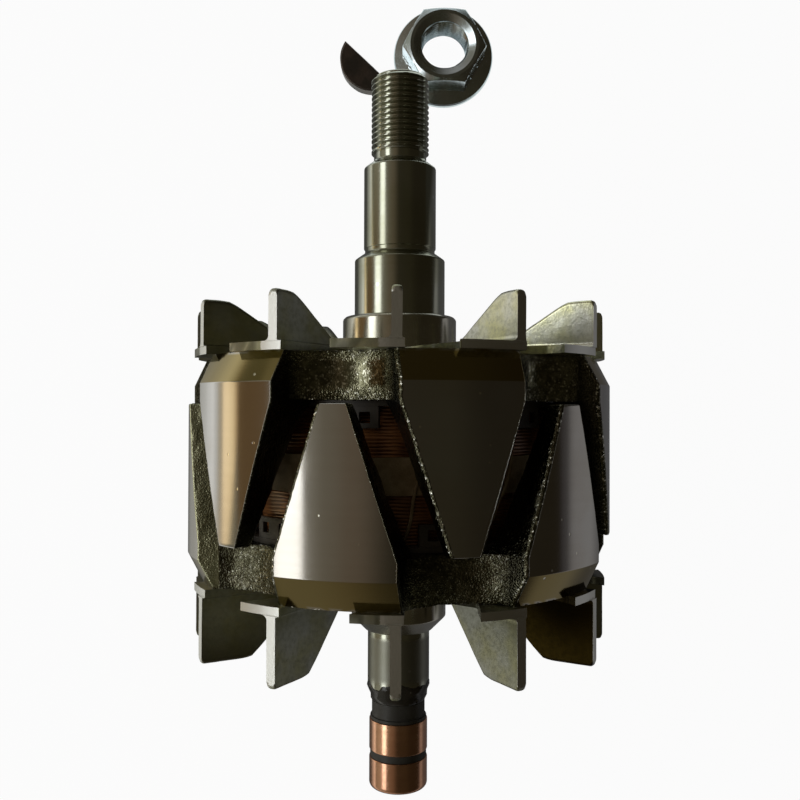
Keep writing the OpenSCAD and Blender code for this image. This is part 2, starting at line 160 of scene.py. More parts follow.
def noise(points, size, seed):
    """Value noise: hashed values at the corners of cells of that size, blended by an S-shaped step."""
    q = np.asarray(points) / size
    base = np.floor(q).astype(np.int64)
    part = q - base
    part = part * part * (3 - 2 * part)
    total = np.zeros(q.shape[:-1])
    for corner in np.ndindex(2, 2, 2):
        bits = np.array(corner)
        weight = np.prod(np.where(bits, part, 1 - part), axis=-1)
        total += weight * hashed(base + bits, seed)
    return total


def shake(points, size, seed):
    """Three independent noises, as a displacement for each point."""
    return np.stack([noise(points, size, seed + i) for i in range(3)], -1)


def along_shaft(section, place):
    """Points from a section (across, up) and a place along the shaft."""
    return np.stack(np.broadcast_arrays(section[..., 0], place, section[..., 1]), -1)


def turned_round(section, angle):
    """A section turned about the shaft by an angle."""
    c, s = np.cos(angle), np.sin(angle)
    x, z = section[..., 0], section[..., 1]
    return np.stack([x * c + z * s, z * c - x * s], -1)


def softened(corners, radius, steps=4):
    """An open outline whose inner corners are replaced by parabolas that start at most radius from each
    corner. A point just before and just after each bend keeps the flats between them flat when they are
    shaded."""
    p = np.asarray(corners, float)
    radius = np.broadcast_to(radius, len(p) - 2)[:, None]
    back, ahead = p[:-2] - p[1:-1], p[2:] - p[1:-1]
    back_len = np.linalg.norm(back, axis=1, keepdims=True)
    ahead_len = np.linalg.norm(ahead, axis=1, keepdims=True)

    def beside(way, length, reach, limit):
        """Points on the sides next to each corner."""
        return (p[1:-1] + way / length * np.minimum(reach, limit * length))[:, None]

    a, b = beside(back, back_len, radius, 0.44), beside(ahead, ahead_len, radius, 0.44)
    before = beside(back, back_len, radius + 0.06, 0.46)
    after = beside(ahead, ahead_len, radius + 0.06, 0.46)
    t = np.linspace(0, 1, steps + 1)[None, :, None]
    bend = (1 - t) ** 2 * a + 2 * t * (1 - t) * p[1:-1, None] + t ** 2 * b
    bend = np.concatenate([before, bend, after], 1)
    return np.concatenate([p[:1], bend.reshape(-1, p.shape[1]), p[-1:]])


def closed(corners, radius, steps=4):
    """A closed outline with all its corners softened: it starts and ends in the middle of its first side."""
    p = np.asarray(corners, float)
    middle = (p[:1] + p[1:2]) / 2
    return softened(np.concatenate([middle, p[1:], p[:1], middle]), radius, steps)


class Skin:
    """Grids of points, in millimetres, that become one mesh. Values may be carried at each point."""

    def __init__(self):
        self.points, self.faces, self.marks, self.count = [], [], {}, 0

    def add(self, grid, round_rows=False, **marks):
        """Adds a grid of rows by columns of points, with quads between them. round_rows joins the last column
        to the first."""
        rows, cols = grid.shape[:2]
        r, c = np.meshgrid(np.arange(rows - 1), np.arange(cols if round_rows else cols - 1), indexing="ij")
        beside = (c + 1) % cols
        corners = [r * cols + c, r * cols + beside, (r + 1) * cols + beside, (r + 1) * cols + c]
        self.faces.append(np.stack(corners, -1).reshape(-1, 4) + self.count)
        self.points.append(grid.reshape(-1, 3))
        for key, value in marks.items():
            filled = np.broadcast_to(value, (rows, cols)).reshape(-1)
            self.marks.setdefault(key, []).append((self.count, filled))
        self.count += rows * cols

    def add_all(self, grids, **marks):
        """Adds each grid of an array whose last three axes are rows, columns and place."""
        rows, cols = grids.shape[-3:-1]
        flat = grids.reshape(-1, rows, cols, 3)
        filled = {k: np.broadcast_to(v, grids.shape[:-1]).reshape(flat.shape[:-1]) for k, v in marks.items()}
        for i, grid in enumerate(flat):
            self.add(grid, **{k: v[i] for k, v in filled.items()})

    def build(self, name, material, node, sharp_degrees=38):
        """Makes the object: doubles merged, faces turned outwards, edges sharp past an angle."""
        mesh = bpy.data.meshes.new(name)
        points = np.concatenate(self.points) * MM
        mesh.from_pydata(points.tolist(), [], np.concatenate(self.faces).tolist())
        for key, parts in self.marks.items():
            values = np.zeros(self.count, np.float32)
            for start, part in parts:
                values[start:start + len(part)] = part
            mesh.attributes.new(key, "FLOAT", "POINT").data.foreach_set("value", values)
        work = bmesh.new()
        work.from_mesh(mesh)
        bmesh.ops.remove_doubles(work, verts=work.verts, dist=0.004 * MM)
        bmesh.ops.dissolve_degenerate(work, edges=work.edges, dist=0.002 * MM)
        bmesh.ops.recalc_face_normals(work, faces=work.faces)
        work.to_mesh(mesh)
        work.free()
        mesh.shade_smooth()
        mesh.set_sharp_from_angle(angle=np.radians(sharp_degrees))
        piece = bpy.data.objects.new(name, mesh)
        bpy.context.scene.collection.objects.link(piece)
        mesh.materials.append(material)
        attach(piece, "root")
        if node:
            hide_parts(node)


def build_one(grid, name, material, node, slot, sharp_degrees=38, **marks):
    """A piece made of one grid whose last column joins its first."""
    skin = Skin()
    skin.add(grid, round_rows=True, **marks)
    skin.build(name, material, node, sharp_degrees)


def lathe(profile, steps=96):
    """Surface of revolution: a profile of (radius, place) rows carried round the shaft in even steps."""
    angle = np.linspace(0, 2 * np.pi, steps, endpoint=False)
    profile = np.asarray(profile, float)
    return along_shaft(polar(profile[:, None, 0], angle), profile[:, None, 1])


def tube(path, radius, steps=12):
    """A round tube: a circle carried along a path, square to the path's direction at each point."""
    ahead = np.gradient(path, axis=0)
    ahead /= np.linalg.norm(ahead, axis=1, keepdims=True)
    side = np.cross(ahead, [0.31, 0.11, 0.94])
    side /= np.linalg.norm(side, axis=1, keepdims=True)
    up = np.cross(side, ahead)
    a = np.linspace(0, 2 * np.pi, steps, endpoint=False)[None, :, None]
    return path[:, None] + radius * (np.cos(a) * side[:, None] + np.sin(a) * up[:, None])


# Shader tools
def add_node(tree, kind, settings=None, **inputs):
    """Adds a shader node. Settings are its own properties; inputs are values or sockets by input name or
    number."""
    made = tree.nodes.new(kind)
    for key, value in (settings or {}).items():
        setattr(made, key, value)
    for key, value in inputs.items():
        socket = made.inputs[int(key[1:]) if key[0] == "i" and key[1:].isdigit() else key.replace("_", " ")]
        if isinstance(value, bpy.types.NodeSocket):
            tree.links.new(value, socket)
        else:
            socket.default_value = value
    return made


def maths(tree, operation, a, b=0.0, clamp=False):
    """One arithmetic step."""
    return add_node(tree, "ShaderNodeMath", dict(operation=operation, use_clamp=clamp), i0=a, i1=b).outputs[0]


def times(tree, a, b, clamp=False):
    """A product."""
    return maths(tree, "MULTIPLY", a, b, clamp)


def larger(tree, a, b):
    """The larger of two values."""
    return maths(tree, "MAXIMUM", a, b)


def blend(tree, share, a, b):
    """A colour between a and b."""
    made = add_node(tree, "ShaderNodeMix", dict(data_type="RGBA"), i0=share, i6=a, i7=b)
    return made.outputs[2]


def lerp(tree, share, a, b):
    """A value between a and b."""
    made = add_node(tree, "ShaderNodeMix", dict(data_type="FLOAT"), i0=share, i2=a, i3=b)
    return made.outputs[0]


def step(tree, value, low, high):
    """S-shaped step of a value from 0 at low to 1 at high."""
    curve = dict(interpolation_type="SMOOTHSTEP")
    return add_node(tree, "ShaderNodeMapRange", curve, i0=value, i1=low, i2=high).outputs[0]


def ramp(tree, value, stops):
    """A colour that passes through those of the stops (place, red, green, blue) as the value passes their
    places."""
    colour = rgb(*stops[0][1:])
    for (low, *_), (high, *shade) in zip(stops, stops[1:]):
        colour = blend(tree, step(tree, value, low, high), colour, rgb(*shade))
    return colour


def new_group(name, inputs, outputs):
    """An empty shader group with float inputs and outputs. Returns the group, what it is given and what it
    gives."""
    group = bpy.data.node_groups.new(name, "ShaderNodeTree")
    for key, value in inputs.items():
        group.interface.new_socket(key, in_out="INPUT", socket_type="NodeSocketFloat").default_value = value
    for key in outputs:
        group.interface.new_socket(key, in_out="OUTPUT", socket_type="NodeSocketFloat")
    given, out = group.nodes.new("NodeGroupInput"), group.nodes.new("NodeGroupOutput")
    return group, given.outputs, out.inputs


def per_size(group, size):
    """Scale of a texture whose features have a size in millimetres."""
    return maths(group, "DIVIDE", 1.0, times(group, size, MM))


def object_place(tree):
    """Place on the object, in metres."""
    return add_node(tree, "ShaderNodeTexCoord").outputs["Object"]


def axes(tree, vector):
    """The parts of a vector, by the axis's name."""
    return add_node(tree, "ShaderNodeSeparateXYZ", Vector=vector).outputs


def carried(tree, key):
    """A value that the mesh carries at each point."""
    return add_node(tree, "ShaderNodeAttribute", dict(attribute_name=key)).outputs["Fac"]


def noise_at(tree, place, scale, detail=2.0, rough=0.5):
    """Cloudy noise from 0 to 1 at a place."""
    made = add_node(tree, "ShaderNodeTexNoise", Vector=place, Scale=scale, Detail=detail, Roughness=rough)
    return made.outputs[0]


def make_turned_lines():
    """Tool marks round the shaft: noise of the place along the shaft alone, fine for height and broad for
    streaks."""
    group, given, out = new_group("turned_lines", dict(Spacing=0.25), ["Height", "Streak"])
    place = axes(group, object_place(group))["Y"]
    rate = per_size(group, given["Spacing"])
    for key, scale, detail in (("Height", rate, 2.0), ("Streak", times(group, rate, 0.13), 3.0)):
        line = dict(noise_dimensions="1D")
        made = add_node(group, "ShaderNodeTexNoise", line, W=place, Scale=scale, Detail=detail)
        group.links.new(made.outputs[0], out[key])
    return group


def make_grain():
    """Rough skin: rounded cells and cloudy noise at a grain size give height, and the cells' shares give
    glints."""
    group, given, out = new_group("grain", dict(Size=0.8), ["Height", "Glint"])
    place = object_place(group)
    rate = per_size(group, given["Size"])
    cells = add_node(group, "ShaderNodeTexVoronoi", dict(feature="SMOOTH_F1"), Vector=place, Scale=rate)
    cloud = noise_at(group, place, times(group, rate, 1.3), 1.0, 0.5)
    height = maths(group, "ADD", times(group, cells.outputs["Distance"], 0.6), cloud)
    shade = axes(group, cells.outputs["Color"])["X"]
    group.links.new(height, out["Height"])
    group.links.new(step(group, shade, 0.55, 0.95), out["Glint"])
    return group


def make_film():
    """Patches of oil or plating tint: broad noise sharpened to an amount from 0 to 1, and a finer mottle."""
    group, given, out = new_group("film", dict(Size=12.0), ["Amount", "Mottle"])
    place = object_place(group)
    rate = per_size(group, given["Size"])
    group.links.new(step(group, noise_at(group, place, rate, 3.0), 0.36, 0.66), out["Amount"])
    fine = noise_at(group, place, times(group, rate, 9.0), 4.0, 0.7)
    group.links.new(step(group, fine, 0.4, 0.68), out["Mottle"])
    return group


def make_wear():
    """Bright broken edges: the point value named edge, gnawed by fine noise, and scattered nicks beside
    it."""
    group, given, out = new_group("edge_wear", dict(Grain=0.5, Reach=0.5), ["Mask"])
    edge = carried(group, "edge")
    rate = per_size(group, given["Grain"])
    gnaw = noise_at(group, object_place(group), rate, 4.0, 0.7)
    level = maths(group, "ADD", edge, maths(group, "SUBTRACT", gnaw, 0.5))
    high = maths(group, "ADD", given["Reach"], 0.22)
    group.links.new(step(group, level, given["Reach"], high), out["Mask"])
    return group


def make_specks():
    """Grit and nicks: the middles of scattered cells, kept where a hashed share is high."""
    group, given, out = new_group("specks", dict(Size=1.4, Share=0.12), ["Mask"])
    rate = per_size(group, given["Size"])
    cells = add_node(group, "ShaderNodeTexVoronoi", Vector=object_place(group), Scale=rate)
    near = step(group, maths(group, "SUBTRACT", 0.2, cells.outputs["Distance"]), 0.0, 0.1)
    shade = axes(group, cells.outputs["Color"])["X"]
    kept = maths(group, "LESS_THAN", shade, given["Share"])
    group.links.new(times(group, near, kept), out["Mask"])
    return group


TURNED, GRAIN, FILM, WEAR, SPECKS = make_turned_lines(), make_grain(), make_film(), make_wear(), make_specks()


def use(tree, group, **inputs):
    """Places a shared group in a material with its own values."""
    return add_node(tree, "ShaderNodeGroup", dict(node_tree=group), **inputs).outputs


def finish(name, metallic=1.0, **plain):
    """A material with one Principled shader; plain values go straight to its sockets."""
    material = bpy.data.materials.new(name)
    material.use_nodes = True
    tree = material.node_tree
    shader = tree.nodes["Principled BSDF"]
    shader.inputs["Metallic"].default_value = metallic
    for key, value in plain.items():
        shader.inputs[key.replace("_", " ")].default_value = value
    return material, tree, shader


def dress(tree, shader, colour, rough, height=None, strength=0.5, depth=0.05):
    """Links a colour, a roughness and a bump of a depth in millimetres."""
    tree.links.new(colour, shader.inputs["Base Color"])
    tree.links.new(rough, shader.inputs["Roughness"])
    if height is not None:
        bump = add_node(tree, "ShaderNodeBump", Strength=strength, Distance=depth * MM, Height=height)
        tree.links.new(bump.outputs[0], shader.inputs["Normal"])


def rgb(red, green, blue):
    """A colour with full alpha."""
    return (red, green, blue, 1.0)


def pole_finish():
    """Forged steel, dark and gritty, turned bright on the outside, with a faint oil film, an olive bevel
    and edges that are nicked here and there. Its raw skin carries painted light: painted shade, to near
    black, down the claws' sides and on the sides that turn from the light, a darker hollow where its
    share is lower, and painted glints on the edges that face the light. Past 1 the shade mark gives a
    flank of bare pale metal."""
    material, tree, shader = finish("pole_steel")
    keys = ("turned", "tone", "bevel", "grit", "calm", "edge")
    turned, tone, bevel, grit, calm, edge = (carried(tree, key) for key in keys)
    lines = use(tree, TURNED, Spacing=0.22)
    grain = use(tree, GRAIN, Size=0.5)
    film = use(tree, FILM, Size=16.0)
    wear = use(tree, WEAR, Grain=0.45, Reach=0.7)["Mask"]
    specks = use(tree, SPECKS, Size=2.2, Share=0.06)["Mask"]
    bright = step(tree, turned, 0.45, 0.75)
    cut = blend(tree, tone, rgb(0.47, 0.465, 0.46), rgb(0.49, 0.465, 0.43))
    cut = blend(tree, times(tree, film["Amount"], 0.3), cut, rgb(0.38, 0.33, 0.26))
    cut = blend(tree, times(tree, lines["Streak"], 0.2), cut, rgb(0.60, 0.58, 0.56))
    cut = blend(tree, bevel, cut, rgb(0.28, 0.22, 0.09))
    raw = blend(tree, film["Mottle"], rgb(0.12, 0.116, 0.07), rgb(0.29, 0.28, 0.19))
    # Bright grains painted as glints; along the edges that face the light, a dark skin with bright dots in
    # the glint cells, painted glints
    raw = blend(tree, times(tree, grain["Glint"], 0.7), raw, rgb(0.78, 0.78, 0.66))
    raw = blend(tree, times(tree, edge, 0.8), raw, rgb(0.04, 0.038, 0.028))
    raw = blend(tree, times(tree, times(tree, edge, 1.8), grain["Glint"], True), raw,
                rgb(1.0, 1.0, 0.92))
    # Painted shade: where the shade mark is low the raw skin is painted near black; past 1 it turns to bare
    # pale metal
    raw = blend(tree, grit, rgb(0.03, 0.028, 0.018), raw)
    open_skin = maths(tree, "SUBTRACT", grit, 1.0, True)
    raw = blend(tree, open_skin, raw, rgb(0.66, 0.67, 0.46))
    colour = blend(tree, bright, raw, cut)
    # Bright worn edges and nicks; on the claws the edge wear is kept to the edges that face the light, so it
    # is partly painted highlight
    marks = larger(tree, wear, times(tree, specks, bright))
    colour = blend(tree, marks, colour, rgb(0.74, 0.72, 0.62))
    rough = lerp(tree, bright, lerp(tree, open_skin, 0.16, 0.4), lerp(tree, film["Amount"], 0.10, 0.14))
    rough = lerp(tree, wear, rough, 0.3)
    fine = maths(tree, "ADD", times(tree, lines["Height"], 0.02),
                 times(tree, grain["Height"], 0.009))
    coarse = times(tree, grain["Height"], maths(tree, "SUBTRACT", 1.0, times(tree, calm, 0.8)))
    height = lerp(tree, bright, coarse, fine)
    height = maths(tree, "SUBTRACT", height, times(tree, marks, 0.1))
    dress(tree, shader, colour, rough, height, 0.8, 0.26)
    return material


def shaft_finish():
    """Ground steel with fine rings, darkened by rust-proofing oil, and matt where the point value dull is
    set."""
    material, tree, shader = finish("ground_steel", Coat_Weight=0.15, Coat_Roughness=0.2)
    dull = carried(tree, "dull")
    lines = use(tree, TURNED, Spacing=0.12)
    film = use(tree, FILM, Size=18.0)
    specks = use(tree, SPECKS, Size=3.0, Share=0.06)["Mask"]
    colour = blend(tree, film["Amount"], rgb(0.47, 0.48, 0.40), rgb(0.38, 0.385, 0.28))
    colour = blend(tree, times(tree, lines["Streak"], 0.3), colour, rgb(0.52, 0.51, 0.47))
    colour = blend(tree, specks, colour, rgb(0.7, 0.69, 0.64))
    colour = blend(tree, times(tree, dull, 0.6), colour, rgb(0.16, 0.155, 0.13))
    rough = lerp(tree, film["Amount"], 0.15, 0.2)
    rough = lerp(tree, dull, rough, 0.42)
    dress(tree, shader, colour, rough, lines["Height"], 0.2, 0.012)
    return material


def fan_finish():
    """Pressed sheet with a yellow-passivated zinc skin: grey with olive patches, darker as a point value
    rises, partly as painted shade and near black past 1 as a painted shadow, and pale on its cut edges."""
    material, tree, shader = finish("passivated_sheet")
    tone = carried(tree, "tone")
    film = use(tree, FILM, Size=10.0)
    grain = use(tree, GRAIN, Size=0.7)
    wear = use(tree, WEAR, Grain=0.4, Reach=0.66)["Mask"]
    skin = blend(tree, film["Amount"], rgb(0.92, 0.93, 0.87), rgb(0.84, 0.83, 0.50))
    skin = blend(tree, times(tree, film["Mottle"], 0.6), skin, rgb(0.48, 0.49, 0.38))
    # Painted shade: the skin is blended towards a darker skin as the blade's value rises, and past 1 towards
    # near black, a painted shadow
    darker_skin = blend(tree, film["Amount"], rgb(0.25, 0.255, 0.21), rgb(0.22, 0.215, 0.13))
    skin = blend(tree, tone, skin, darker_skin)
    skin = blend(tree, maths(tree, "SUBTRACT", tone, 1.0, True), skin, rgb(0.03, 0.02, 0.004))
    colour = blend(tree, wear, skin, rgb(0.78, 0.78, 0.75))
    rough = lerp(tree, tone, 0.27, lerp(tree, film["Mottle"], 0.40, 0.50))
    rough = lerp(tree, wear, rough, 0.38)
    dress(tree, shader, colour, rough, grain["Height"], 0.4, 0.04)
    return material


def collar_finish():
    """Turned collar with a thin oily skin and bright rubbed patches."""
    material, tree, shader = finish("collar_steel")
    lines = use(tree, TURNED, Spacing=0.3)
    film = use(tree, FILM, Size=7.0)
    colour = blend(tree, film["Amount"], rgb(0.60, 0.58, 0.51), rgb(0.47, 0.45, 0.36))
    colour = blend(tree, times(tree, film["Mottle"], 0.3), colour, rgb(0.56, 0.54, 0.47))
    rough = lerp(tree, film["Amount"], 0.13, 0.2)
    dress(tree, shader, colour, rough, lines["Height"], 0.25, 0.02)
    return material


def copper_finish():
    """Turned copper, polished by brushes, with browner bands."""
    material, tree, shader = finish("copper", Coat_Weight=0.05, Coat_Roughness=0.1)
    lines = use(tree, TURNED, Spacing=0.16)
    film = use(tree, FILM, Size=9.0)
    colour = blend(tree, lines["Streak"], rgb(0.95, 0.55, 0.36), rgb(0.80, 0.42, 0.26))
    colour = blend(tree, times(tree, film["Amount"], 0.35), colour, rgb(0.55, 0.27, 0.17))
    rough = lerp(tree, film["Mottle"], 0.19, 0.26)
    dress(tree, shader, colour, rough, lines["Height"], 0.15, 0.01)
    return material


def plated_finish(name, metallic, film_size, grain_size, worn, shades, rough, bump, **plain):
    """Plating or blacking: two shades in patches, a third on worn edges, and a faint grain."""
    material, tree, shader = finish(name, metallic, **plain)
    film = use(tree, FILM, Size=film_size)
    grain = use(tree, GRAIN, Size=grain_size)
    wear = use(tree, WEAR, **worn)["Mask"]
    colour = blend(tree, film["Amount"], rgb(*shades[0]), rgb(*shades[1]))
    colour = blend(tree, wear, colour, rgb(*shades[2]))
    dress(tree, shader, colour, lerp(tree, film["Mottle"], *rough), grain["Height"], *bump)
    return material


def dull_finish(name, dark, light, rough_low, rough_high, size, bump):
    """A moulded, coated or woven finish: two shades in patches, a grain of the given size."""
    material, tree, shader = finish(name, 0.0)
    film = use(tree, FILM, Size=size * 9)
    grain = use(tree, GRAIN, Size=size)
    dust = use(tree, SPECKS, Size=1.6, Share=0.14)["Mask"]
    colour = blend(tree, film["Amount"], rgb(*dark), rgb(*light))
    colour = blend(tree, times(tree, dust, 0.5), colour, rgb(0.35, 0.33, 0.28))
    rough = lerp(tree, film["Mottle"], rough_low, rough_high)
    dress(tree, shader, colour, rough, grain["Height"], 0.4, bump)
    return material


def wire_finish():
    """Enamelled copper wire under varnish: amber to brown, glossy, with painted shade that darkens the
    grooves between turns.
    """
    material, tree, shader = finish("enamelled_wire", 0.35, Coat_Weight=0.6, Coat_Roughness=0.15)
    film = use(tree, FILM, Size=7.0)
    crown = carried(tree, "crown")
    colour = blend(tree, film["Amount"], rgb(0.40, 0.16, 0.05), rgb(0.22, 0.085, 0.03))
    # Painted shade: near black in the grooves between turns, where the crown falls to 0
    colour = blend(tree, step(tree, crown, 0.0, 0.7), rgb(0.04, 0.015, 0.006), colour)
    rough = lerp(tree, film["Mottle"], 0.28, 0.42)
    dress(tree, shader, colour, rough)
    return material


POLE_STEEL = pole_finish()
GROUND_STEEL = shaft_finish()
FAN_SHEET = fan_finish()
COLLAR_STEEL = collar_finish()
COPPER = copper_finish()
ZINC = plated_finish("bright_zinc", 1.0, 6.0, 0.9, dict(Grain=0.6, Reach=0.6),
                     ((0.66, 0.71, 0.74), (0.54, 0.60, 0.62), (0.80, 0.84, 0.86)), (0.17, 0.26), (0.15, 0.03),
                     Coat_Weight=0.1, Coat_Roughness=0.1)
BLACK_STEEL = plated_finish("blackened_steel", 0.7, 5.0, 0.5, dict(Grain=0.5, Reach=0.62),
                            ((0.075, 0.062, 0.052), (0.12, 0.09, 0.075), (0.30, 0.28, 0.25)), (0.42, 0.58),
                            (0.3, 0.05))
WIRE = wire_finish()
MOULDING, RESIN, INSULATION, TAPE, SLEEVING = (dull_finish(*row) for row in (
    ("black_moulding", (0.045, 0.043, 0.038), (0.07, 0.067, 0.06), 0.45, 0.6, 0.5, 0.03),
    ("varnish_resin", (0.020, 0.018, 0.015), (0.045, 0.038, 0.03), 0.14, 0.3, 0.7, 0.06),
    ("grey_insulation", (0.06, 0.052, 0.045), (0.10, 0.088, 0.075), 0.4, 0.55, 0.6, 0.04),
    ("binding_tape", (0.36, 0.27, 0.16), (0.52, 0.42, 0.28), 0.65, 0.8, 0.5, 0.12),
    ("lead_sleeving", (0.20, 0.11, 0.06), (0.30, 0.18, 0.10), 0.5, 0.65, 0.5, 0.08)))


# Poles
def half_width(s):
    """Half a claw's width at distance s from the back: even over the plate, then a straight taper."""
    return np.interp(s, [0, PLATE_T, CLAW_LEN], [ROOT_HALF_W, ROOT_HALF_W, TIP_HALF_W])


def outer_radius(s):
    """The turned radius at distance s from the back: a bevel, then the full radius."""
    return np.interp(s, [0, POLE_BEVEL_LEN, CLAW_LEN], [POLE_R - POLE_BEVEL, POLE_R, POLE_R])


# Columns of a claw's half outline: the top, with close ones beside its edge, the rounded edge, the side
# above and below the level where the valley's hollow meets it, the inner corner, the inside, and the rest
# of the hollow
TOP_SHARE = np.concatenate([np.linspace(0, 0.9, 8), [0.965, 0.99, 1.0]])
SIDE_SHARE = np.concatenate([[0.06], np.linspace(0.2, 1, 7)])
TOP_N, SIDE_N, EDGE_N, FOOT_N, INNER_N, ARC_N, HOLLOW_N = len(TOP_SHARE), len(SIDE_SHARE), 7, 6, 4, 12, 16
CREST_N = TOP_N + EDGE_N + SIDE_N

# Middle of a valley's hollow beside a claw that points up, and the height at which the claw's side meets
# the hollow
HOLLOW_MIDDLE = polar(VALLEY_R + HOLLOW_R, CLAW_PITCH / 2)
FLANK_FOOT = HOLLOW_MIDDLE[1] - np.sqrt(HOLLOW_R ** 2 - (HOLLOW_MIDDLE[0] - ROOT_HALF_W) ** 2)
CLAW_FOOT = np.sqrt(CLAW_ROOT_R ** 2 - ROOT_HALF_W ** 2)


def crest(s, edge, low):
    """Outside of a claw from its middle down one side: an arc at the turned radius, a rounded edge whose
    centre lies edge inside both faces, and a straight side that ends at height low."""
    w, r = half_width(s) + 0 * edge, outer_radius(s) + 0 * edge
    cx = w - edge
    cz = np.sqrt((r - edge) ** 2 - cx ** 2)
    lean = np.arctan2(cx, cz)
    top = polar(r[..., None], shares(0, lean, TOP_SHARE))
    turn = spread(lean, np.pi / 2, EDGE_N + 1)[..., 1:]
    corner = np.stack([cx, cz], -1)[..., None, :] + edge[..., None, None] * polar(1.0, turn)
    z = shares(cz, low, SIDE_SHARE)
    side = np.stack([w[..., None] + 0 * z, z], -1)
    return np.concatenate([top, corner, side], -2)


def hollow():
    """From the foot of a claw's side to the middle of the valley: an arc of the hollow, split where a ray
    from the shaft's axis through the claw's inner corner meets it."""
    ray = polar(1.0, np.arctan2(ROOT_HALF_W, CLAW_FOOT))
    along = ray @ HOLLOW_MIDDLE
    before = np.sqrt(along ** 2 - HOLLOW_MIDDLE @ HOLLOW_MIDDLE + HOLLOW_R ** 2)
    split = ray * (along - before) - HOLLOW_MIDDLE
    first = np.array([ROOT_HALF_W, FLANK_FOOT]) - HOLLOW_MIDDLE
    angles = [np.arctan2(way[0], way[1]) for way in (first, split, -HOLLOW_MIDDLE)]
    upper = spread(angles[0], angles[1], FOOT_N + 1)[1:]
    lower = spread(angles[1], angles[2], HOLLOW_N + 1)[1:]
    return HOLLOW_MIDDLE + HOLLOW_R * polar(1.0, np.concatenate([upper, lower]))


def underside(s):
    """Inside of a claw from the foot of its side to its middle: a rounded corner, then an arc at the inner
    radius, which runs straight from the plate to the tip. Also gives the height of the side's foot."""
    r = np.interp(s, [PLATE_T, CLAW_LEN], [CLAW_ROOT_R, POLE_R - TIP_T])
    round_r = INNER_BLEND * smooth(PLATE_T, PLATE_T + 5, s)
    cx = half_width(s) - round_r
    cz = np.sqrt((r + round_r) ** 2 - cx ** 2)
    lean = np.arctan2(cx, cz)
    turn = spread(np.pi / 2, lean + np.pi, INNER_N + 1)[..., 1:]
    corner = np.stack([cx, cz], -1)[..., None, :] + round_r[..., None, None] * polar(1.0, turn)
    arc = polar(r[..., None], spread(lean, 0, ARC_N))
    return np.concatenate([corner, arc], -2), cz


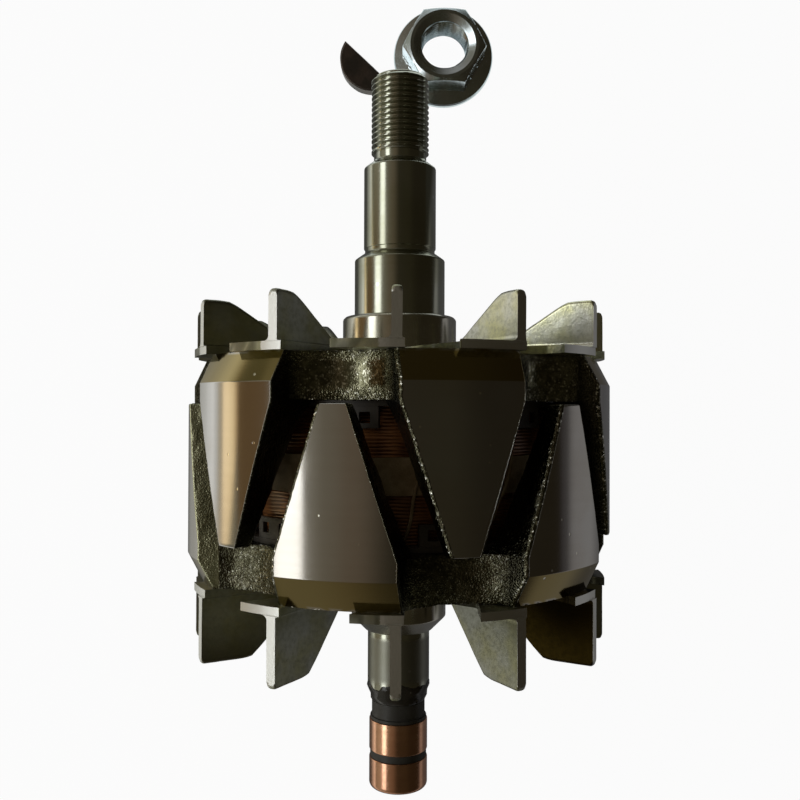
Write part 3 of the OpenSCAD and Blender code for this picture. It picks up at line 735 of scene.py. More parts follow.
def claw_pole(name, node, back, forward, first_degrees, seed, even=0.0, hollow_unshaded_share=1.0, bare_claw=None):
    """A forged pole. Half outlines of the claws, carried along the shaft, make the wall of the plate and
    the claws; straight rules from those outlines to the bore make the faces. Noise roughens all but the
    turned outside. even is the share by which the valleys are smoother, the share after it is how much of
    the hollows' raw skin keeps its colour and glints, the rest being painted dark as shade, and bare_claw
    is the claw whose right flank is bare pale metal instead of painted dark."""
    skin = Skin()
    claw = np.arange(CLAWS)
    angle = (np.radians(first_degrees) + claw * CLAW_PITCH)[:, None, None, None]
    mirror = np.array([-1.0, 1.0])[None, :, None, None]
    tone = (hashed(np.stack([claw, claw * 3 + 1, claw * 0 + 5], -1), seed) * 0.5 + 0.5)[:, None, None, None]

    def broken_edge(s):
        """Radius of the worn edge for each claw, side and place: noise round the mean, even at the tip."""
        side = np.array([2.3, 7.9])[None, :, None]
        where = np.stack(np.broadcast_arrays(claw[:, None, None] * 9.7, side, s), -1)
        gnaw = 0.1 * noise(where, 1.3, seed) + 0.1 * noise(where, 0.6, seed + 3)
        mean = EDGE_BREAK * np.array([1.0, 0.5])[None, :, None]
        gnaw = gnaw * (1 - smooth(CLAW_LEN - 4, CLAW_LEN - 1, s))
        return np.minimum(mean * (1 + gnaw), 1.1 + 0.5 * smooth(2, 8, s))

    def placed(half, s, turned):
        """Half outlines mirrored, turned to each claw and roughened where they aren't turned."""
        both = np.broadcast_to(half, (CLAWS, 2) + half.shape[-3:])
        section = np.stack([both[..., 0] * mirror, both[..., 1]], -1)
        points = along_shaft(turned_round(section, angle), (back + forward * s)[:, None])
        rough = FORGE_DENT * shake(points, FORGE_DENT_SIZE, seed)
        rough = rough + FORGE_PIT * shake(points, FORGE_PIT_SIZE, seed + 7)
        return points + rough * (1 - turned)[..., None]

    def to_bore(rim, steps=5):
        """Rows of a section that run straight in from a rim to the bore."""
        hub = polar(BORE_R, np.arctan2(rim[..., 0], rim[..., 1]))
        return rim[..., None, :, :] + (hub - rim)[..., None, :, :] * np.linspace(0, 1, steps)[:, None, None]

    # Marks across a claw's outside, set by side: the left edge, which faces the light, gets bright wear,
    # kept to this side as painted highlight, and painted glints, while the right edge and flank are painted
    # dark as shade
    turned = columns((TOP_N - 1, 1), (1, 0.55), (EDGE_N, 0.4), (SIDE_N, 0))
    held = columns((TOP_N, 1), (EDGE_N, 0.95, 0.6), (SIDE_N, 0))
    edge_mark = columns((TOP_N - 1, 0), (1, 0.4), (EDGE_N, 0.55), (1, 0.3), (SIDE_N - 1, 0))
    brink = columns((TOP_N, 0), (EDGE_N + SIDE_N, 1))
    lit = np.array([1.0, 0.1])[None, :, None, None]
    bare = 2.0 * ((claw == bare_claw)[:, None] & np.array([False, True]))[:, :, None, None]
    rest_n = FOOT_N + HOLLOW_N

    # Wall of the plate, with close rows on both sides of the bevel's end
    s = np.concatenate([np.linspace(0, POLE_BEVEL_LEN - 0.12, 11), [POLE_BEVEL_LEN, POLE_BEVEL_LEN + 0.12],
                        np.linspace(POLE_BEVEL_LEN + 0.6, PLATE_T, 8)])
    outside = crest(s, broken_edge(s), np.full(s.shape, FLANK_FOOT))
    wall = np.concatenate([outside, np.broadcast_to(hollow(), outside.shape[:-2] + (rest_n, 2))], -2)
    wall_turned, wall_edge, dark = (np.pad(row, (0, rest_n)) for row in (turned, edge_mark, brink))
    wall_held = np.concatenate([held, columns((FOOT_N, 0, 0.6 * even), (HOLLOW_N, 0.6 * even))])
    line = 0.5 * np.exp(-((s - POLE_BEVEL_LEN) / 0.2) ** 2)[:, None] * wall_turned
    rims = 0.55 * np.exp(-((PLATE_T - s) / 0.5) ** 2)[:, None] * (1 - wall_turned)
    bevel = (s < POLE_BEVEL_LEN - 0.05)[:, None] * wall_turned
    # Painted shade on the raw skin: the sides are painted dark, to near black at their feet, the foot of the
    # hollow is dark, the hollow keeps its share, and the edges and sides that turn from the light are painted
    # near black; 2 marks a bare flank
    grit = columns((TOP_N + EDGE_N, 1), (SIDE_N, 0.25, 0), (FOOT_N, 0.2, hollow_unshaded_share), (HOLLOW_N, hollow_unshaded_share))
    grit = np.maximum(grit * (1 - dark * (1 - lit)), bare * dark)
    calm = even * (smooth(1, 3, s) * smooth(9.5, 7.5, s))[:, None]
    calm = calm * columns((CREST_N, 0), (FOOT_N, 0, 1), (HOLLOW_N, 1))
    skin.add_all(placed(wall, s, wall_held), turned=wall_turned, tone=tone, bevel=bevel, grit=grit, calm=calm,
                 edge=np.maximum(np.maximum(wall_edge * lit, line), rims))

    # Claws, with the last rows drawn in to round the tip
    s = np.linspace(PLATE_T, CLAW_LEN - TIP_ROUND, 58)
    inside, low = underside(s)
    share = (FLANK_FOOT - CLAW_FOOT) / (np.sqrt(POLE_R ** 2 - ROOT_HALF_W ** 2) - CLAW_FOOT)
    shoulder = low + share * (np.sqrt(POLE_R ** 2 - half_width(s) ** 2) - low)
    outside = crest(s, broken_edge(s), shoulder)
    foot = spread(shoulder, low, FOOT_N + 1)[..., 1:]
    inside = np.concatenate([np.stack([half_width(s)[:, None] + 0 * foot, foot], -1), inside], -2)
    half = np.concatenate([outside, np.broadcast_to(inside, outside.shape[:2] + inside.shape)], -2)
    bend = np.radians([30, 60, 90])
    s = np.concatenate([s, CLAW_LEN - TIP_ROUND * (1 - np.sin(bend))])
    last = half[..., -1:, :, :]
    middle = np.array([0.0, POLE_R - TIP_T / 2])
    inset = (TIP_ROUND * (1 - np.cos(bend)))[:, None, None]
    shrink = 1 - inset / np.array([TIP_HALF_W, TIP_T / 2])
    half = np.concatenate([half, middle + (last - middle) * shrink], -3)
    inner_n = half.shape[-2] - CREST_N
    claw_turned, claw_held, claw_edge = (np.pad(row, (0, inner_n)) for row in (turned, held, edge_mark))
    tip = 0.4 * smooth(CLAW_LEN - 1.1, CLAW_LEN - 0.2, s)[:, None] * claw_turned
    # The same painted shade on the claws: the sides are painted dark, to near black at their feet and on the
    # side that turns from the light, and the inside is near black
    grit = columns((TOP_N + EDGE_N, 1), (SIDE_N, 0.3, 0), (inner_n, 0))
    dark = np.concatenate([brink, np.ones(inner_n)])
    grit = np.maximum(grit * (1 - dark * (1 - lit)), bare * dark)
    skin.add_all(placed(half, s, claw_held), turned=claw_turned, tone=tone, grit=grit,
                 edge=np.maximum(claw_edge * lit, tip))
    end = half[..., -1, :, :]
    fill = np.stack([end * [1, 1], end * [0.5, 1], end * [0, 1]], -3)
    skin.add_all(placed(fill, np.full(3, CLAW_LEN), claw_held), turned=0.3, tone=tone)

    # Back face with a close row inside its rough rim, front face under the claws and valleys, and the bore
    face = to_bore(wall[..., 0, :, :])
    close = 0.9 * face[..., :1, :, :] + 0.1 * face[..., 1:2, :, :]
    face = np.concatenate([face[..., :1, :, :], close, face[..., 1:, :, :]], -3)
    kept = np.concatenate([wall_held[None], np.ones((5, len(wall_held)))])
    skin.add_all(placed(face, np.zeros(6), kept), turned=0.6, tone=tone)
    ring_r = CLAW_ROOT_R - 2.0
    claw_front, valley_front = half[0, 0, 0, CREST_N - 1:], wall[0, 0, -1, CREST_N - 1:]
    claw_rim, valley_rim = claw_front[FOOT_N:], valley_front[FOOT_N:]
    valley_r = np.hypot(valley_rim[:, 0], valley_rim[:, 1])
    step_r = np.minimum(CLAW_ROOT_R, (valley_r + ring_r) / 2)
    for rim, radii in ((claw_rim, [None]), (valley_rim, [None, step_r])):
        around = np.arctan2(rim[:, 0], rim[:, 1])
        rows = np.stack([rim if r is None else polar(r, around) for r in radii])
        rows = np.concatenate([rows, to_bore(polar(ring_r, around))])
        kept = np.zeros(rows.shape[:2])
        kept[-1] = 1.0
        skin.add_all(placed(rows, np.full(len(rows), PLATE_T), kept), turned=0.0, tone=tone)
    beside = np.stack([claw_front[:FOOT_N + 1], valley_front[:FOOT_N + 1]])
    skin.add_all(placed(beside, np.full(2, PLATE_T), np.zeros(beside.shape[:2])), turned=0.0, tone=tone)
    skin.add(lathe([(BORE_R, back), (BORE_R, back + forward * PLATE_T)], 144), round_rows=True, turned=0.6)
    skin.build(name, POLE_STEEL, node, 50)


# Fans
BLADE_ANGLE = np.arange(BLADES) * 2 * np.pi / BLADES


def fan(name, node, back, up, tone, bare, height, flat_r, foot_r, seed):
    """A pressed fan. In each of the equal sectors, a section of the sheet with its turned-up blade
    (tangential offset by height) is carried outwards; the blade's height grows along a straight slope and
    ends in a rounded corner. Each blade's value darkens it, partly as painted shade by the blade's angle
    and, past 1, as a painted shadow, and bare is how far its rim is rubbed bright beside it."""
    skin = Skin()
    pitch = 2 * np.pi / BLADES
    tone, bare = tone[:, None, None], bare[:, None]
    hub = np.linspace(BORE_R, foot_r, 6)
    out = foot_r + (FAN_R - foot_r) * np.concatenate([np.linspace(0, 0.88, 24), np.linspace(0.88, 1, 13)[1:]])
    rho = np.concatenate([hub[:-1], out])
    first_open = len(hub) - 1
    corner_r, edge_r = 1.0, 0.8
    near, far = -SHEET_T + 0.2, 0.6
    rise = np.clip((rho - foot_r) / (flat_r - foot_r), 0, 1)
    past = np.clip(rho - (FAN_R - corner_r), 0, corner_r)
    crown = height * rise - 0.25 * np.exp(-((rho - flat_r) / 1.5) ** 2)
    crown = np.maximum(SHEET_T, crown - corner_r + np.sqrt(corner_r ** 2 - past ** 2))
    hollow_r = np.clip((crown - SHEET_T) * 0.45, 0, 1.1)[:, None]
    foot_bend = np.clip((crown - SHEET_T) * 0.3, 0, 0.4)[:, None]
    round_r = np.clip((crown - SHEET_T) * 0.3, 0, edge_r)[:, None]

    # Angles of the arm's two edges: a slanted cut beside the last blade, and the shoulder past this one
    slant = np.interp(rho, [foot_r, flat_r], [SHOULDER, height])
    ragged = 0.18 * noise(np.stack([rho, 0 * rho, 0 * rho], -1), 1.1, seed)
    arm_stop = np.arcsin(SHOULDER / np.maximum(rho, foot_r))
    arm_start = np.where(rho < foot_r, arm_stop, np.arcsin((slant + ragged * (rho > foot_r)) / rho)) - pitch
    arm_end = np.maximum(np.arcsin((near - hollow_r[:, 0]) / rho), arm_start + 0.02)
    arm = shares(arm_start, arm_end, np.concatenate([[0, 0.02], np.linspace(0.1, 0.9, 8), [0.98, 1]]))
    shoulder = shares(np.arcsin((far + foot_bend[:, 0]) / rho), arm_stop, np.array([0, 0.5, 1]))

    # Section of the blade as tangential offset and height: bend, face, rounded top, other face, bend
    quarter = np.linspace(0, np.pi / 2, 5)
    early, late = 1 - np.cos(quarter), 1 - np.sin(quarter)
    top = crown[:, None]
    face_share = np.array([0, 0.03, 0.2, 0.4, 0.6, 0.8, 0.97, 1])
    climb = shares(SHEET_T + hollow_r[:, 0], crown - round_r[:, 0], face_share)
    fall = shares(crown - round_r[:, 0], SHEET_T + foot_bend[:, 0], face_share)
    blade = [(near - hollow_r * late, SHEET_T + hollow_r * early), (near + 0 * climb, climb),
             (near + round_r * early, top - round_r * late), (far - round_r * late, top - round_r * early),
             (far + 0 * fall, fall), (far + foot_bend * early, SHEET_T + foot_bend * late)]
    bends = [np.arcsin(offset / rho[:, None]) for offset, _ in blade]
    theta = np.concatenate([arm, *bends, shoulder], 1)
    high = np.concatenate([SHEET_T + 0 * arm, *[level for _, level in blade], SHEET_T + 0 * shoulder], 1)
    first, last = arm.shape[1] - 1, theta.shape[1] - shoulder.shape[1]
    column = np.arange(theta.shape[1])
    on_blade = ((column > first) & (column < last)).astype(float)
    first_top = first + 1 + bends[0].shape[1] + climb.shape[1]
    top_n = bends[2].shape[1] + bends[3].shape[1]
    edge_mark = 0.5 * ((column >= first_top) & (column < first_top + top_n)) + 0 * theta

    def placed(theta, high, blade_share):
        """Sector points for every blade, each with a small lean of its own, and a faint buckle of the
        sheet."""
        shy = OVERHANG * (1 - blade_share) * np.maximum(rho[:, None] - foot_r, 0) / (FAN_R - foot_r)
        reach = rho[:, None] - shy
        k = np.arange(BLADES)
        lean = 0.014 * hashed(np.stack([k, k + 4, k * 0 + 2], -1), seed)[:, None, None]
        turn = theta + k[:, None, None] * pitch + lean * np.maximum(high - SHEET_T, 0) / np.maximum(reach, 1)
        points = along_shaft(polar(reach, turn), back + up * high)
        return points + 0.10 * shake(points, 14.0, seed) + 0.02 * shake(points, 1.7, seed + 5)

    def bridged(line, rungs=5):
        """A row of the top with the blade left out: straight from one side of its foot to the other."""
        share = np.linspace(0, 1, rungs)[:, None]
        base = line[..., first, None, :] + (line[..., last, None, :] - line[..., first, None, :]) * share
        return np.concatenate([line[..., :first, :], base, line[..., last + 1:, :]], -2)

    above = placed(theta, high, on_blade)
    away = FAN_R * np.maximum(theta[-1, first] - theta[-1], 0)
    rim_mark = smooth(bare + 1, bare, away + 0 * bare)[:, None]
    at_rim = (rho > FAN_R - 0.01)[:, None]
    skin.add_all(above, tone=tone,
                 edge=np.maximum(edge_mark * (crown > SHEET_T + 0.5)[:, None], at_rim * rim_mark))
    flat = bridged(theta[..., None])[..., 0]
    rim_mark = bridged(rim_mark[..., None])[..., 0]
    below = placed(flat, 0 * flat, np.zeros(flat.shape[1]))
    skin.add_all(below, edge=at_rim * rim_mark, tone=tone)

    # Walls of the openings, the bore, the rim and the outer edges of the blades
    for side in (0, -1):
        wall = np.stack([below[:, first_open:, side], above[:, first_open:, side]], -2)
        skin.add_all(wall, edge=0.0, tone=tone)
    for row, mark in ((0, 0.0), (-1, rim_mark)):
        band = np.stack([below[:, row], bridged(above[:, row])], 1)
        skin.add_all(band, edge=mark, tone=tone + 0.5 * (1 - mark))
    half = (last - first + 1) // 2
    rim = above[:, -1]
    left, right = rim[:, first:first + half], rim[:, last - half + 1:last + 1][:, ::-1]
    across = np.linspace(0, 1, 5)[:, None]
    skin.add_all(left[:, :, None] + (right - left)[:, :, None] * across, edge=1.0, tone=tone)
    skin.build(name, FAN_SHEET, node)


# Shaft
def shaft():
    """A turned shaft: radius as a function of place and angle. The thread is a wave of place less angle;
    the key seat is a circular trough whose columns are held between its two walls."""
    wall = np.arcsin((KEY_W / 2 + FIT) / SEAT_R)
    open_part = np.linspace(np.pi + wall, 3 * np.pi - wall, 132)
    slot_part = np.linspace(np.pi - wall, np.pi + wall, 9)
    angle = np.concatenate([slot_part, open_part])
    in_slot = np.arange(len(angle)) < len(slot_part)
    thread_low = SHAFT_TOP - THREAD_LEN
    tip = 1.2
    seat_rows = [(SEAT_R, y) for y in np.linspace(SEAT_LOW + 1, SEAT_HIGH - 1, 40)]
    rear_rows = [(REAR_SEAT_R, y) for y in np.linspace(RESIN_HIGH + 1, REAR_COLLAR_LOW - 0.8, 14)]
    corners = [
        (0, SHAFT_END), (TAIL_R, SHAFT_END), (TAIL_R, RESIN_HIGH), (REAR_SEAT_R, RESIN_HIGH),
        *rear_rows, (REAR_SEAT_R, REAR_COLLAR_LOW), (REAR_SHOULDER_R, REAR_COLLAR_LOW),
        (REAR_SHOULDER_R, REAR_COLLAR_HIGH), (PRESS_R, REAR_COLLAR_HIGH), (PRESS_R, 0), (BEARING_R, 0),
        (BEARING_R, BEARING_HIGH),
        (GROOVE_R, BEARING_HIGH + STEP_BEVEL), (GROOVE_R, SEAT_LOW), (SEAT_R, SEAT_LOW), *seat_rows,
        (SEAT_R, SEAT_HIGH), (NECK_R, SEAT_HIGH + STEP_BEVEL), (NECK_R, thread_low)
    ]
    body = softened(corners, 0.35)
    rows = np.arange(thread_low, SHAFT_TOP, THREAD_PITCH / 12)
    place = np.concatenate([body[:, 1], rows, [SHAFT_TOP, SHAFT_TOP]])
    plain = np.concatenate([body[:, 0], np.full(len(rows), THREAD_R), [THREAD_R - tip, 0]])[:, None]
    phase = (place[:, None] - thread_low) / THREAD_PITCH - angle / (2 * np.pi)
    away = np.abs(phase % 1 - 0.5) * 2
    groove = THREAD_DEPTH * np.clip((away - 0.15) / 0.6, 0, 1)
    threaded = ((place >= thread_low) & (place < SHAFT_TOP)) * smooth(thread_low, thread_low + 0.8, place)
    radius = plain - groove * threaded[:, None]
    cone = THREAD_R - tip + (SHAFT_TOP - place[:, None]) * 0.9
    radius = np.minimum(radius, np.where(place[:, None] >= thread_low, cone, 99.0))
    section = polar(radius, angle)
    middle = (SEAT_LOW + SEAT_HIGH) / 2
    reach = np.sqrt(np.clip(KEY_R ** 2 - (place - middle) ** 2, 0, None))
    trough = SEAT_R + KEY_PROUD - KEY_H + KEY_R - reach
    across = (KEY_W / 2 + FIT) * np.linspace(1, -1, len(slot_part))
    skin_z = np.sqrt(np.clip(radius[:, in_slot] ** 2 - across ** 2, 0, None))
    cut = (np.abs(place - middle) < KEY_R)[:, None] & (trough[:, None] < skin_z)
    held = np.stack([across + 0 * skin_z, -np.where(cut, trough[:, None], skin_z)], -1)
    section[:, in_slot] = np.where(cut[..., None], held, section[:, in_slot])
    dull = smooth(RESIN_HIGH + 1, RESIN_HIGH + 3.5, place)
    dull = dull * smooth(REAR_COLLAR_LOW - 0.8, REAR_COLLAR_LOW - 2.5, place)
    build_one(along_shaft(section, place[:, None]), "turned_shaft", GROUND_STEEL, "shaft", "shaft_steel", 32,
              dull=dull[:, None])


def collars():
    """Two spacers turned about the shaft: closed outlines of radius and place, their corners softened."""
    front = closed([(PRESS_R + FIT, COLLAR_LOW), (COLLAR_R, COLLAR_LOW), (COLLAR_R, COLLAR_HIGH - 0.8),
                    (COLLAR_R - 0.8, COLLAR_HIGH), (PRESS_R + FIT, COLLAR_HIGH)], 0.4)
    build_one(lathe(front), "drive_end_spacer", COLLAR_STEEL, "drive_end_collar", "collar_steel")
    lip = REAR_SHOULDER_R + 0.44
    rear = closed([(REAR_SHOULDER_R + FIT, REAR_COLLAR_LOW), (lip, REAR_COLLAR_LOW),
                   (REAR_COLLAR_R, REAR_COLLAR_LOW + REAR_COLLAR_R - lip), (REAR_COLLAR_R, REAR_COLLAR_HIGH),
                   (REAR_SHOULDER_R + FIT, REAR_COLLAR_HIGH)], 0.35)
    build_one(lathe(rear), "slip_ring_end_spacer", COLLAR_STEEL, "slip_ring_end_collar", "collar_steel")


def slip_rings():
    """Copper rings, the moulded sleeve they sit on and the resin that seals it, all turned about the
    shaft."""
    inner = RING_R - RING_WALL
    for name, node, (low, high), end_r in (("copper_ring_inner", "inner_slip_ring", INNER_RING, 0.3),
                                           ("copper_ring_outer", "outer_slip_ring", OUTER_RING, RING_ROUND)):
        bend = np.linspace(0, np.pi / 2, 9)
        nose = np.stack([RING_R - end_r * (1 - np.sin(bend)), low + end_r * (1 - np.cos(bend))], -1)
        rest = [(RING_R, low + end_r + 0.1), (RING_R, high), (inner, high), (inner, low), nose[0]]
        build_one(lathe(np.concatenate([nose, softened(rest, 0.3)])), name, COPPER, node, "copper")
    seat, hole = inner - FIT, TAIL_R + FIT
    flange = INNER_RING[1] + SLEEVE_FLANGE
    outline = closed([(hole, SLEEVE_HIGH), (hole, SLEEVE_LOW), (seat, SLEEVE_LOW), (seat, OUTER_RING[1]),
                      (SLEEVE_R, OUTER_RING[1]), (SLEEVE_R, INNER_RING[0]), (seat, INNER_RING[0]),
                      (seat, INNER_RING[1]), (SLEEVE_R, INNER_RING[1]), (SLEEVE_R, flange),
                      (SLEEVE_NECK_R, flange), (SLEEVE_NECK_R, SLEEVE_HIGH)], 0.2)
    build_one(lathe(outline), "moulded_sleeve", MOULDING, "slip_ring_sleeve", "black_moulding")
    angle = np.linspace(0, 2 * np.pi, 160, endpoint=False)
    ring = along_shaft(polar(6.0, angle), 0.0)
    creep = 1.5 + 1.6 * noise(ring, 2.2, 61) + 0.7 * noise(ring, 0.8, 62)
    swell = 0.26 * noise(ring, 1.5, 63)
    rows = [(hole, RESIN_HIGH), (hole, RESIN_LOW), (SLEEVE_NECK_R - 0.15, RESIN_LOW - 0.1),
            (SLEEVE_NECK_R + 0.25 + swell, RESIN_LOW + 0.4 + swell),
            (SLEEVE_NECK_R + 0.5 - swell, RESIN_LOW + 1.6),
            (REAR_SEAT_R - 0.35 + swell, RESIN_HIGH - 0.9 + swell),
            (REAR_SEAT_R + 0.16 + 0.3 * swell, RESIN_HIGH + 0.2 * creep),
            (REAR_SEAT_R + 0.12, RESIN_HIGH + np.maximum(0.75 * creep, 0.1)),
            (REAR_SEAT_R - 0.02, RESIN_HIGH + np.maximum(creep, 0.15)), (REAR_SEAT_R - 0.06, RESIN_HIGH),
            (hole, RESIN_HIGH)]
    radius, place = (np.stack([np.broadcast_to(row[i], angle.shape) for row in rows]) for i in (0, 1))
    build_one(along_shaft(polar(radius, angle), place), "sealing_resin", RESIN, "resin_bead", "resin")


def winding():
    """The coil: a crowned outline whose outside is ribbed by turns of wire, each turn climbing one pitch
    per round."""
    steps = 144
    angle = np.linspace(0, 2 * np.pi, steps, endpoint=False)
    rows = np.arange(COIL_LOW, COIL_HIGH, WIRE_PITCH / 7)
    inset = np.minimum(rows - COIL_LOW, COIL_HIGH - rows)
    base = np.interp(inset, [0, 6.5], [COIL_SIDE_R, COIL_R - 0.25])[:, None]
    where = along_shaft(polar(COIL_R, angle), rows[:, None])
    wander = 0.35 * noise(where, 9.0, 71) + 0.12 * noise(where, 3.0, 72)
    phase = rows[:, None] / WIRE_PITCH - angle / (2 * np.pi) + wander
    crown = np.sqrt(np.clip(1 - (2 * (phase % 1) - 1) ** 2, 0, 1))
    radius = base + 0.34 * (crown - 1) + 0.2 * noise(where, 6.0, 73)
    radius = np.minimum(radius, COIL_R)
    skin = Skin()
    skin.add(along_shaft(polar(radius, angle), rows[:, None]), round_rows=True, crown=crown)
    for edge_row in (0, -1):
        rim = along_shaft(polar(radius[edge_row], angle), rows[edge_row])
        hub = along_shaft(polar(TUBE_R, angle), rows[edge_row])
        skin.add(np.stack([rim, hub]), round_rows=True, crown=0.6)
    inner = along_shaft(polar(TUBE_R, angle), np.array([[rows[0]], [rows[-1]]]) + 0 * angle)
    skin.add(inner, round_rows=True, crown=0.6)
    skin.build("wound_coil", WIRE, "field_coil", 60)

    # Binding tape with a puckered surface
    low, high = ends_of("coil_binding")
    rows = np.linspace(low, high, 30)
    where = along_shaft(polar(COIL_R, angle), rows[:, None])
    pucker = 0.12 * noise(where, 2.4, 81)
    outer = along_shaft(polar(COIL_R + 0.5 + pucker, angle), rows[:, None] + 0.5 * noise(where, 7.0, 82))
    under = along_shaft(polar(COIL_R + 0.02, angle), rows[:, None] + 0.5 * noise(where, 7.0, 82))
    skin = Skin()
    skin.add(outer, round_rows=True)
    skin.add(under[::-1], round_rows=True)
    for row in (0, -1):
        skin.add(np.stack([outer[row], under[row]]), round_rows=True)
    skin.build("tape_binding", TAPE, "coil_binding", 60)

    # Lacing cords that cross the coil between its two sides
    skin = Skin()
    t = np.linspace(0, 1, 60)
    for start in np.radians(np.arange(12) * 30 + 7):
        inset = np.minimum(t, 1 - t) * (COIL_HIGH - COIL_LOW)
        reach = np.interp(inset, [0, 6.5], [COIL_SIDE_R + 0.2, COIL_R + 0.3]) + 0.75 * smooth(10, 12.5, inset)
        sweep = start + 0.22 * (t - 0.5) + 0.015 * np.sin(9 * t + 5 * start)
        path = along_shaft(polar(reach, sweep), COIL_LOW + (COIL_HIGH - COIL_LOW) * t)
        skin.add(tube(path, 0.42, 8), round_rows=True)
    skin.build("coil_lacing", TAPE, None, 60)


def leads():
    """Two sleeved leads: a circle carried along a route from the coil, down a valley and in to the rear
    collar."""
    depth = VALLEY_R + HOLLOW_R
    floor_r = np.sqrt((HOLLOW_R - LEAD_CLEAR) ** 2 - (depth * np.sin(LEAD_ASIDE)) ** 2)
    outer = depth * np.cos(LEAD_ASIDE) - floor_r
    turn_y, coil_y = REAR_FAN_BACK - SHEET_T - LEAD_CLEAR, REAR_BACK + PLATE_T + 8.1
    corners = [(COIL_R + 0.4, coil_y), (outer, coil_y), (outer, turn_y), (REAR_SHOULDER_R + 0.2, turn_y)]
    route = softened(corners, LEAD_BEND, 8)
    for name, node, degrees in LEADS:
        path = along_shaft(polar(route[:, 0], np.radians(degrees)), route[:, 1])
        sleeve = tube(path, LEAD_R, 16)
        skin = Skin()
        skin.add(sleeve, round_rows=True)
        for end in (0, -1):
            skin.add(np.stack([sleeve[end], np.broadcast_to(path[end], sleeve[end].shape)]), round_rows=True)
        skin.build(name, SLEEVING, node, 60)


def nut():
    """A flanged hexagon nut on the floor: outside radius is the least of a hexagon and a top cone or the
    flange's cone, the bore has a threaded wall, and both meet in flat faces."""
    low, high = span("pulley_nut")
    centre = (low + high)[:2] / 2
    height, flange_r = high[2] - low[2], (high[0] - low[0]) / 2
    angle = np.linspace(0, 2 * np.pi, 168, endpoint=False)
    hexagon = NUT_FLATS / 2 / np.cos((angle + np.pi / 6) % (np.pi / 3) - np.pi / 6)
    rows = np.concatenate([[0, 0.25], np.linspace(0.5, NUT_FLANGE_T, 6), np.linspace(2.5, 4.2, 12),
                           np.linspace(4.4, height - 3.0, 8), np.linspace(height - 2.8, height, 24)])
    flange = np.where(rows <= NUT_FLANGE_T, flange_r, flange_r - (rows - NUT_FLANGE_T) * 3.0)
    flange = flange - 0.35 * np.exp(-rows / 0.15) - 0.25 * smooth(2.1, 2.4, rows) * (rows <= NUT_FLANGE_T)
    cone = NUT_TOP_R + (height - rows) / np.tan(np.radians(35))
    outside = np.maximum(np.minimum(hexagon, cone[:, None]), flange[:, None])
    inner_rows = np.concatenate([np.linspace(height, height - 1.5, 8),
                                 np.arange(height - 1.6, 0.8, -THREAD_PITCH / 10), [0.5, 0.0]])
    phase = inner_rows[:, None] / THREAD_PITCH - angle / (2 * np.pi)
    groove = NUT_THREAD_DEPTH * np.clip(np.abs(phase % 1 - 0.5) * 2 / 0.7, 0, 1)
    mouth = NUT_MOUTH_R - (height - inner_rows) / np.tan(np.radians(30))
    ends = np.maximum(mouth, THREAD_R + 0.6 - inner_rows)[:, None]
    inside = np.maximum(THREAD_R - NUT_THREAD_DEPTH + groove, ends)
    top = spread(outside[-1], inside[0], 5).T
    radius = np.concatenate([outside, top[1:-1], inside, outside[:1]])
    place = np.concatenate([rows, np.full(3, height), inner_rows, [0.0]])
    across = polar(radius, angle)
    points = np.stack([centre[0] + across[..., 0], centre[1] + across[..., 1],
                       low[2] + place[:, None] + 0 * angle], -1)
    edge = np.zeros(radius.shape)
    edge[:len(rows)] = 0.7 * np.exp(-((hexagon - NUT_FLATS / np.sqrt(3)) / 0.25) ** 2)
    build_one(points, "flanged_nut", ZINC, "pulley_nut", "zinc_plate", 30, edge=edge)


def loose_key():
    """The half-moon key: a bow and a straight edge, as one outline, carried up the key's width with
    bevelled rims."""
    ground = span("pulley_key")[0][2]
    half = np.arccos((KEY_R - KEY_H) / KEY_R)
    bow = np.linspace(-half, half, 41)
    outline = np.stack([KEY_R * np.sin(bow), KEY_R - KEY_H - KEY_R * np.cos(bow)], -1)
    chord = np.stack([np.linspace(outline[-1, 0], outline[0, 0], 13)[1:-1], np.zeros(11)], -1)
    outline = np.concatenate([outline, chord])
    middle = np.array([0.0, -KEY_H * 0.42])
    inset = np.array([0, 0.33, 0.66, 1]) * (1 - KEY_BEVEL / 6)
    scale = np.concatenate([inset, [1, 1], inset[::-1]])
    place = np.array([0, 0, 0, 0, KEY_BEVEL, KEY_W - KEY_BEVEL, KEY_W, KEY_W, KEY_W, KEY_W])
    flat = turned_round(middle + (outline - middle) * scale[:, None, None], KEY_TURN)
    points = np.stack([flat[..., 0] + KEY_ACROSS, flat[..., 1] + SHAFT_TOP + KEY_PAST_SHAFT,
                       ground + place[:, None] + 0 * flat[..., 0]], -1)
    points = points + 0.06 * shake(points, 2.0, 91) * ((place > 0) & (place < KEY_W))[:, None, None]
    upper_rim = (place == KEY_W - KEY_BEVEL) | (scale == inset[-1]) & (place == KEY_W)
    edge = np.where(upper_rim, 0.6, 0.0)[:, None]
    build_one(points, "half_moon_key", BLACK_STEEL, "pulley_key", "black_steel", 30, edge=edge)


def plain_nodes():
    """The solids whose shape is already right take their finish as they are."""
    for node, material in (("pole_core", COLLAR_STEEL), ("coil_bobbin", MOULDING),
                           ("drive_end_insulator", INSULATION), ("slip_ring_end_insulator", INSULATION)):
        solid = frame["nodes"][node]
        solid.data.materials.clear()
        solid.data.materials.append(material)


claw_pole("drive_end_forging", "drive_end_claw_pole", DRIVE_BACK, -1, 15, 11, even=1.0)
claw_pole("slip_ring_end_forging", "slip_ring_end_claw_pole", REAR_BACK, 1, -15, 23, hollow_unshaded_share=0.55,
          bare_claw=5)
